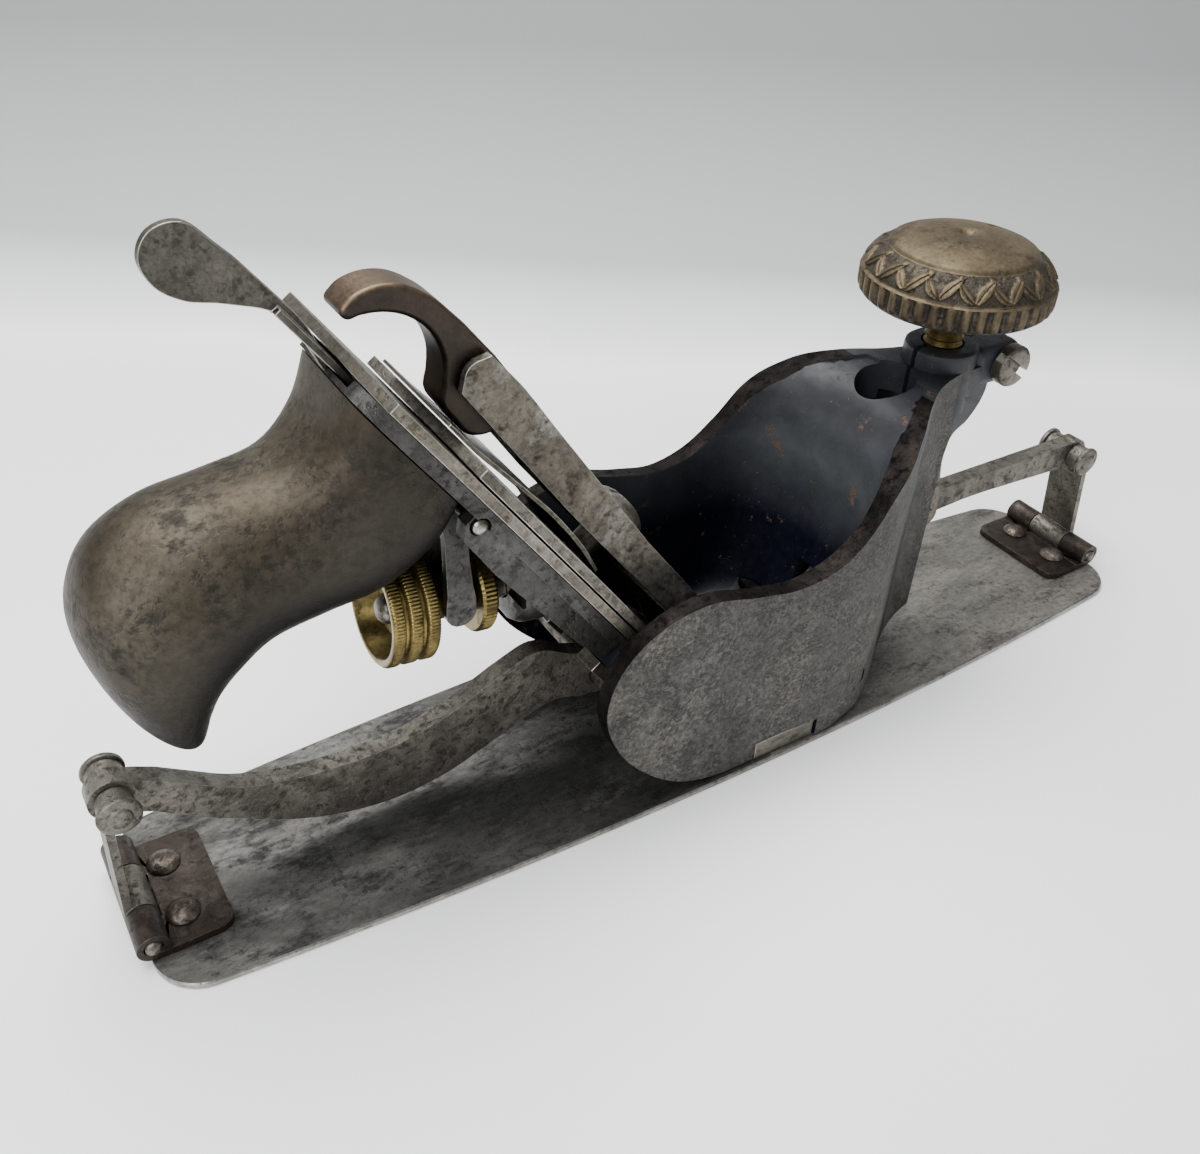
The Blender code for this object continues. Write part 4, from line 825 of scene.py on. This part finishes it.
def make_lever_cap():
    upper = [
        (114.6, 15.7, 1), (107, 16.1), (95, 15.5), (82, 14.8), (63, 13.8), (41, 13.6), (27, 12.2),
        (16, 8.6), (9, 5.6), (7.2, 4.2), (8.2, 3.7), (12, 4.2), (19, 5.6), (30, 7.0),
        (45, 7.4), (77, 6.9), (97, 7.4), (113.6, 7.8, 1), (116, 11.7),
    ]
    cap = plate("lever_cap_casting", upper, -24, 24, BED_SIDE, steps=7)
    half = [(117, 6.0, 1), (96, 7.6), (80, 10.4), (62, 13.2), (40, 17.4), (24, 19.6), (6, 20.2, 1)]
    keep(cap, tapered("plan", half))
    half = [(125, 4.3, 1), (98, 5.5), (80, 8.2), (62, 10.8), (44, 14.2), (33, 15.6, 1)]
    channel = tapered("channel", half)
    under = [(30, 2), (125, 2), (125, 13), (82, 11.8), (63, 10.8), (41, 10.4), (30, 8.4)]
    keep(channel, plate("under", under, -24, 24, BED_SIDE, steps=1))
    fork = box("fork", (97.5, -4.3, -5), (130, 4.3, 30), BED_FACE)
    screw_place = BED_FACE @ shift(CAP_SCREW_U, 0)
    cut(cap, channel, fork, cylinder("hole", 3.4, 0, 30, screw_place))
    dress(cap, "lever_cap", "body", "bright_steel", ("steel", "steel_edge"), 0.75, angle=35)

    profile = [(0, 17.2), (1.6, 17.1), (3, 16.9), (4.4, 16.4), (5.4, 15.8), (6.1, 15.1), (6.4, 14.6),
               (6.4, 14.2), (3.0, 14.2), (3.0, -5.3), (0, -5.3)]
    screw = turned("lever_screw_head", profile, screw_place, 56)
    cut(screw, box("slot", (-9, -0.7, 15.9), (9, 0.7, 20), screw_place))
    dress(screw, "lever_cap_screw", "body", "bright_steel", ("steel", "steel_edge"), 0.12, angle=50)


def make_cam():
    pivot = bed_point(106.5, 11.6)
    outline = [
        (137.4, 3.0), (138.2, 5.4), (137.2, 9.0), (134.4, 12.4), (129.0, 14.9), (122.5, 15.9), (115, 16.3),
        (110, 16.3), (103.5, 15.2), (100.6, 12.0), (100.9, 8.4), (102.4, 5.6), (104.6, 3.95),
        (109, 3.8), (113.4, 4.4), (115.8, 7.0), (119, 9.6), (123.5, 11.0), (128, 10.5),
        (132.4, 8.0), (134.8, 5.2), (136.2, 3.0),
    ]
    cam = plate("cam_hook", outline, -3.9, 3.9, BED_SIDE, steps=5)
    cut(cam, cross_pin("bore", 1.8, pivot, -20, 20))
    dress(cam, "cam_lever", "cam", "handle_iron", ("cam", "cam"), 0.9, angle=40, segments=4)
    profile = [(0, 5.9), (1.5, 5.9), (1.5, -5.9), (0, -5.9)]
    pin = turned("cam_pin_look", profile, cross_matrix(pivot), 32)
    dress_smooth(pin, "cam_pin", "body", "bright_steel", "steel")


def make_side_lever():
    strap = [
        (144, -2.2, 1), (144, 2.2, 1), (131, 3.4), (116, 5.6), (108.5, 5.6), (107, 3.4),
        (107, -3.4), (108.5, -5.6), (116, -5.6), (131, -3.4),
    ]
    lever = plate("side_lever_look", strap, -3.75, -2.5, BED_FACE, steps=4)
    paddle = [
        (-78.8, 102.8), (-84.8, 112.4), (-93, 115.8), (-98.4, 117.3), (-101.9, 120.1), (-103.1, 124.1),
        (-101.2, 127.4), (-97.5, 128.4), (-91.8, 123.8), (-86.4, 117.3), (-80.4, 108.6),
    ]
    join(lever, plate("paddle", paddle, -0.8, 0.8, SIDE, steps=8))
    cut(lever, cylinder("hole", 2.9, -9, 5, BED_FACE @ shift(124, 0)))
    dress(lever, "lateral_lever", "side_lever", "bright_steel", ("dull", "steel_edge"), 0.35)


# ---------------------------------------------------------------- depth adjuster

def knurl(teeth, depth, rows):
    """Change of radius that cuts fine teeth into some rows of a profile."""
    def shape(turn, i):
        return -depth * (0.5 + 0.5 * math.cos(teeth * turn)) if i in rows else 0.0
    return shape


def make_wheel():
    rim = [
        (10.4, 9.0), (10.7, 8.7), (10.7, 7.1), (10.4, 6.8), (9.7, 6.5), (9.7, 6.0), (10.4, 5.7), (10.7, 5.4),
        (10.7, 3.7), (10.4, 3.4), (9.7, 3.1), (9.7, 2.6), (10.4, 2.3), (10.7, 2.0), (10.7, 0.6), (10.3, 0.1),
        (9.9, 0),
    ]
    hub = [
        (3.3, 18.5), (4.2, 18.5), (4.2, 10.7), (5.4, 10.6), (7.2, 10.3), (8.2, 9.8), (8.4, 9.5), (8.4, 9.0),
    ]
    dish = [(9.2, 0), (8.9, 0.3), (8.4, 5.2), (8.0, 5.5), (5.4, 5.4), (5.0, 5.2), (5.0, 3.4), (3.3, 3.4)]
    knurled = {len(hub) + k for k, (radius, height) in enumerate(rim) if radius > 10.3}
    wheel = turned("wheel_look", hub + rim + dish, STUD, 400, bored=True, shape=knurl(100, 0.2, knurled))
    dress_smooth(wheel, "depth_wheel", "wheel", "old_brass", "brass", angle=50)
    profile = [(3.3, 22.0), (7.7, 22.0), (8.2, 21.5), (8.2, 19.3), (7.7, 18.8), (3.3, 18.8)]
    collar = turned("collar_look", profile, STUD, 240, bored=True, shape=knurl(60, 0.16, {2, 3}))
    dress_smooth(collar, "wheel_collar", "wheel_carriage", "old_brass", "brass")
    profile = [(0, 0.8), (1.0, 0.9), (1.8, 1.2), (2.5, 1.8), (2.9, 2.6)]
    height, pitch = 23.0, 0.8
    while height < 31.5:
        profile += [(2.9, height), (2.5, height + 0.4)]
        height += pitch
    stud = turned("stud_look", profile + [(2.9, 33), (0, 33)], STUD, 40)
    dress_smooth(stud, "depth_stud", "body", "bright_steel", "steel")


# ---------------------------------------------------------------- knob and linkage

LEAVES = 17                     # pairs round the knob's band
LEAF_PAIR = ((0.95, -1.1, -0.2, 3.9, 1.25), (2.2, 1.7, -0.6, 3.1, 1.05))  # lean, aside, up, length, width


def ornament(turn, t):
    """Height of the raised leaf band, at this turn and at t from the band's foot to its top."""
    if t < 0.015 or t > 0.985:
        return 0.0
    pace = 2 * math.pi * 18.2 / LEAVES
    place = turn / (2 * math.pi) * LEAVES
    up = (t - 0.5) * 7.4
    best = 0.0
    for k in (-1, 0, 1):
        aside = (place - math.floor(place) - 0.5 + k) * pace
        for lean, leaf_aside, leaf_up, long, wide in LEAF_PAIR:
            dx, dy = aside - leaf_aside, up - leaf_up
            on = (dx * math.cos(lean) + dy * math.sin(lean)) / long
            off = abs(-dx * math.sin(lean) + dy * math.cos(lean) - 0.5 * (1 - on * on))
            if abs(on) < 1:
                inside = wide * (1 - on * on) * (1 - 0.25 * on) - off
                if inside > 0:
                    high = 0.62 * min(1.0, inside / 0.22)
                    if off < 0.17 and on < 0.75:
                        high -= 0.34
                    best = max(best, high)
        berry = 0.75 - math.hypot(aside - 0.1, up - 2.6)
        if berry > 0:
            best = max(best, 0.6 * min(1.0, berry / 0.3))
    return best


def band_radius(t):
    """Radius of the knob's band under the leaves, from its top at t = 0 to its foot at t = 1."""
    return 15.6 + 4.3 * math.sin(t * 1.25) / math.sin(1.25)


def make_knob():
    dome = [
        (0, 12.6), (0.9, 12.65), (1.5, 12.9), (2.0, 13.35), (4, 13.4), (7, 13.2), (10, 12.6), (13, 11.8),
        (14.8, 11.1), (15.2, 10.85), (15.35, 10.6), (15.5, 10.25),
    ]
    rows = 30
    band = [(band_radius(k / rows), 10.1 - 5.0 * (k / rows) ** 1.25) for k in range(rows + 1)]
    foot = [
        (20.2, 5.0), (20.6, 4.7), (20.8, 4.2), (20.8, 3.4), (20.8, 1.9), (20.7, 0.9), (20.5, 0.3),
        (20.0, -0.2), (19, -1), (12, -1.6), (6.6, -2.2), (5.4, -4.0), (0, -4.0),
    ]
    profile = [(radius, KNOB_FOOT + height) for radius, height in dome + band + foot]
    start = len(dome)
    fluted = range(len(dome) + len(band) + 2, len(dome) + len(band) + 7)

    def shape(turn, i):
        if start <= i <= start + rows:
            return ornament(turn, 1 - (i - start) / rows)
        if i in fluted:
            return -abs(math.cos(20 * turn)) ** 2.6
        return 0.0

    knob = turned("knob_look", profile, KNOB_AXIS, 720, shape=shape)
    dress_smooth(knob, "knob", "knob_and_screw", "knob_bronze", "knob", "knob_dark", angle=45)
    for face in knob.data.polygons:
        c = face.center / MM
        radius, height = math.hypot(c.x - KNOB_X, c.y), c.z - KNOB_FOOT
        if 5.3 < height < 10.0 and radius > 15:
            ground = band_radius(((10.1 - height) / 5) ** 0.8)
            face.material_index = 1 if radius < ground + 0.22 else 0
        elif height < 4.6 and radius < 20.25:
            face.material_index = 1
    profile = [(0, 83.7), (4.3, 83.7)]
    height, pitch = 83.5, 1.6
    while height > 60:
        profile += [(4.3, height), (3.7, height - 0.7)]
        height -= pitch
    profile += [(4.3, 59.4), (2.0, 58.9), (2.0, 56.4), (0, 56.4)]
    screw = turned("screw_look", profile, KNOB_AXIS, 48)
    dress_smooth(screw, "adjusting_screw", "knob_and_screw", "old_brass", "brass")


def make_arms():
    front = [
        (26, 17.2), (33, 21), (41, 29), (50, 34.8), (60, 36.4, 1), (121, 36.3, 1), (121, 29.2, 1),
        (64, 29.3), (56, 27.6), (48, 21.6), (40, 13.2), (34, 8.0), (28, 6.8),
    ]
    rear = [
        (-123.4, 34.6), (-118, 33.2), (-113.4, 30.2), (-104.4, 24.4), (-92.3, 20.9), (-82.3, 19.9),
        (-71.8, 20.3), (-60.7, 23.3), (-49.2, 28.6), (-41.5, 31.0), (-34, 27.4), (-27, 24.0),
        (-23.0, 17.0), (-28.5, 14.0), (-36.6, 15.9), (-51, 11.4), (-62.8, 7), (-74.1, 5.6), (-84.7, 7),
        (-94.7, 10.5), (-105.5, 16.6), (-112.3, 20.9), (-118.6, 25.7), (-123.4, 29.0),
    ]
    for word, outline, shaft, eye in (
        ("front", front, FRONT_SHAFT, TOE_EYE), ("rear", rear, REAR_SHAFT, HEEL_EYE),
    ):
        arm = plate(word + "_arm_look", outline, -2, 2, SIDE, steps=7)
        join(arm, cross_pin("hub", 5.5, shaft, -2, 2), cross_pin("eye", 4.3, eye, -2, 2))
        cut(arm, cross_pin("bore", 2.8, shaft, -20, 20), cross_pin("bore", 2.7, eye, -20, 20))
        if word == "front":
            cut(arm, cross_pin("bore", 2.3, DROP_LINK_FOOT, -20, 20))
        dress(arm, word + "_arm", word + "_lever", "bright_steel", ("pitted", "steel_edge"), 0.4)


def make_clamp_screw():
    place, right = (CLAMP[0], 0, CLAMP[1]), Vector((0, -1, 0))
    profile = [(0, 11.0), (2.4, 10.95), (3.8, 10.8), (4.5, 10.5), (4.8, 10.0), (4.8, 7.9), (2.1, 7.9),
               (2.1, -6.6), (0, -6.6)]
    screw = turned("clamp_look", profile, axis_matrix(place, right), 56)
    turn = math.radians(-34)
    lengthwise = Vector((math.cos(turn), 0, math.sin(turn)))
    across = Vector((-math.sin(turn), 0, math.cos(turn)))
    cut(screw, box("slot", (-9, -0.95, 8.3), (9, 0.95, 14), frame_matrix(lengthwise, across, right, place)))
    dress(screw, "clamp_screw", "clamp", "bright_steel", ("steel", "steel_edge"), 0.12, angle=50)


STEEL = ("bright_steel", ("steel", "steel_edge"))
DARK_IRON = ("bright_steel", ("frog", "steel"))
DARK = ("bright_steel", ("rim", "rim"))
BROWN = ("rusty_steel", ("rust", "rust_edge"))
CAD_SHAPED = [                  # node, body, slot with materials, bevel
    ("frog", "body", DARK_IRON, 0.35),
    ("mouth_block", "body", STEEL, 0.2),
    ("frog_bolt_left", "body", STEEL, 0.25),
    ("frog_bolt_right", "body", STEEL, 0.25),
    ("handle_screw_left", "body", STEEL, 0),
    ("handle_screw_right", "body", STEEL, 0),
    ("lateral_pivot", "body", STEEL, 0),
    ("lateral_roller", "side_lever", STEEL, 0.15),
    ("cap_iron_screw", "chip_screw", STEEL, 0.15),
    ("yoke", "yoke", DARK_IRON, 0.25),
    ("yoke_pin", "body", ("bright_steel", ("steel_edge", "steel_edge")), 0),
    ("swivel_block", "swivel", STEEL, 0.2),
    ("link_plate_left", "drop_link", STEEL, 0.2),
    ("link_plate_right", "drop_link", STEEL, 0.2),
    ("upper_link_pin", "drop_link", STEEL, 0.2),
    ("lower_link_pin", "drop_link", STEEL, 0.2),
    ("front_shaft", "front_lever", DARK, 0.2),
    ("rear_shaft", "rear_lever", STEEL, 0.2),
    ("front_sector", "front_lever", BROWN, 0.15),
    ("rear_sector", "rear_lever", BROWN, 0.15),
    ("front_sector_screw", "front_lever", STEEL, 0.15),
    ("rear_sector_screw", "rear_lever", STEEL, 0.15),
]


def make_small_pieces():
    """Looks that keep the CAD's own shape, with rounded edges."""
    for node, body, (slot, materials), bevel in CAD_SHAPED:
        dress(copy_node(node), node, body, slot, materials, bevel, angle=35)


# ---------------------------------------------------------------- stage

RIGHT = Vector((0.834, -0.552, 0.0))        # across the view, level


def make_stage():
    """A pale sweep: flat under the plane, rising behind it, with a painted bright band where it starts to rise
    and painted shade darkening it further up.
    """
    n = Nodes("sweep")
    rise = n.math("MULTIPLY", n.height(), 5.0, True)
    tone = n.math("MULTIPLY", n.math("SUBTRACT", n.noise(5, 4, 0.5), 0.5), 0.06)
    # Painted light and shade by height: a bright band just above the floor, then darker and darker up the wall.
    shade = n.ramp(n.math("ADD", rise, tone), (0.0, (0.93, 0.935, 0.94)), (0.015, (1.0, 1.0, 1.0)),
                   (0.04, (0.77, 0.78, 0.785)), (0.11, (0.41, 0.42, 0.422)), (0.42, (0.235, 0.242, 0.244)))
    n.link(shade, n.shader.inputs["Base Color"])
    n.shader.inputs["Roughness"].default_value = 0.9
    away = Vector((-RIGHT.y, RIGHT.x, 0.0))
    start, bend, half_width, gap = 130, 170, 1600, 0.02
    line = [(-900.0, 0.0), (start, 0.0)]
    for degrees in range(6, 80, 6):
        turn = math.radians(degrees)
        line.append((start + bend * math.sin(turn), bend - bend * math.cos(turn)))
    line.append((line[-1][0] + 130, line[-1][1] + 900))
    bm = bmesh.new()
    rows = []
    for reach, height in line:
        middle = away * reach + Vector((0, 0, height - gap))
        rows.append([bm.verts.new((middle + RIGHT * aside) * MM) for aside in (-half_width, half_width)])
    for one, two in zip(rows, rows[1:]):
        bm.faces.new((one[0], one[1], two[1], two[0]))
    mesh = bpy.data.meshes.new("sweep")
    bm.to_mesh(mesh)
    bm.free()
    floor = new_object("sweep", mesh)
    for face in mesh.polygons:
        face.use_smooth = True
    mesh.materials.append(n.material)


def area_light(name, place, target, size, power, colour):
    data = bpy.data.lights.new(name, "AREA")
    data.shape = "RECTANGLE"
    data.size, data.size_y = size[0] * MM, size[1] * MM
    data.energy = power
    data.color = colour
    light = bpy.data.objects.new(name, data)
    bpy.context.scene.collection.objects.link(light)
    light.location = Vector(place) * MM
    light.rotation_euler = (Vector(target) - Vector(place)).to_track_quat("-Z", "Y").to_euler()


def make_light():
    world = bpy.data.worlds.new("studio")
    bpy.context.scene.world = world
    world.use_nodes = True
    sky = world.node_tree.nodes["Background"].inputs
    sky["Color"].default_value = (0.78, 0.8, 0.83, 1)
    sky["Strength"].default_value = 0.68
    area_light("overhead", (-80, 120, 620), (0, 0, 30), (620, 420), 8.6, (1.0, 0.99, 0.97))
    area_light("left_front", (-520, -260, 380), (0, 0, 40), (360, 360), 3.0, (0.97, 0.98, 1.0))
    area_light("right_back", (420, 300, 330), (0, 0, 40), (260, 360), 3.4, (1.0, 1.0, 1.0))


def make_camera():
    """Over the heel's right corner, looking down at the plane and forward, turned slightly about its axis."""
    data = bpy.data.cameras.new("camera")
    camera = bpy.data.objects.new("camera", data)
    bpy.context.scene.collection.objects.link(camera)
    data.sensor_fit = "HORIZONTAL"
    data.sensor_width = 36
    data.lens = 34.95
    data.clip_start = 0.01
    data.clip_end = 20
    forward = Vector((0.4432, 0.6699, -0.5956)).normalized()
    right = RIGHT.normalized()
    right = (right - forward * right.dot(forward)).normalized()
    down = forward.cross(right)
    roll = -0.050
    x_axis = right * math.cos(roll) + down * math.sin(roll)
    y_axis = down * math.cos(roll) - right * math.sin(roll)
    matrix = Matrix((x_axis, -y_axis, -forward)).transposed().to_4x4()
    matrix.translation = Vector((-131.70, -159.80, 185.22)) * MM
    camera.matrix_world = matrix
    bpy.context.scene.camera = camera
    bpy.context.scene.view_settings.view_transform = "AgX"


def main():
    make_sole()
    make_hinge("toe", TOE_HINGE, TOE_EYE)
    make_hinge("heel", HEEL_HINGE, HEEL_EYE)
    make_body()
    make_grip()
    make_cutter()
    make_lever_cap()
    make_cam()
    make_side_lever()
    make_wheel()
    make_knob()
    make_arms()
    make_clamp_screw()
    make_small_pieces()
    make_stage()
    make_light()
    make_camera()
    bpy.context.view_layer.update()


main()
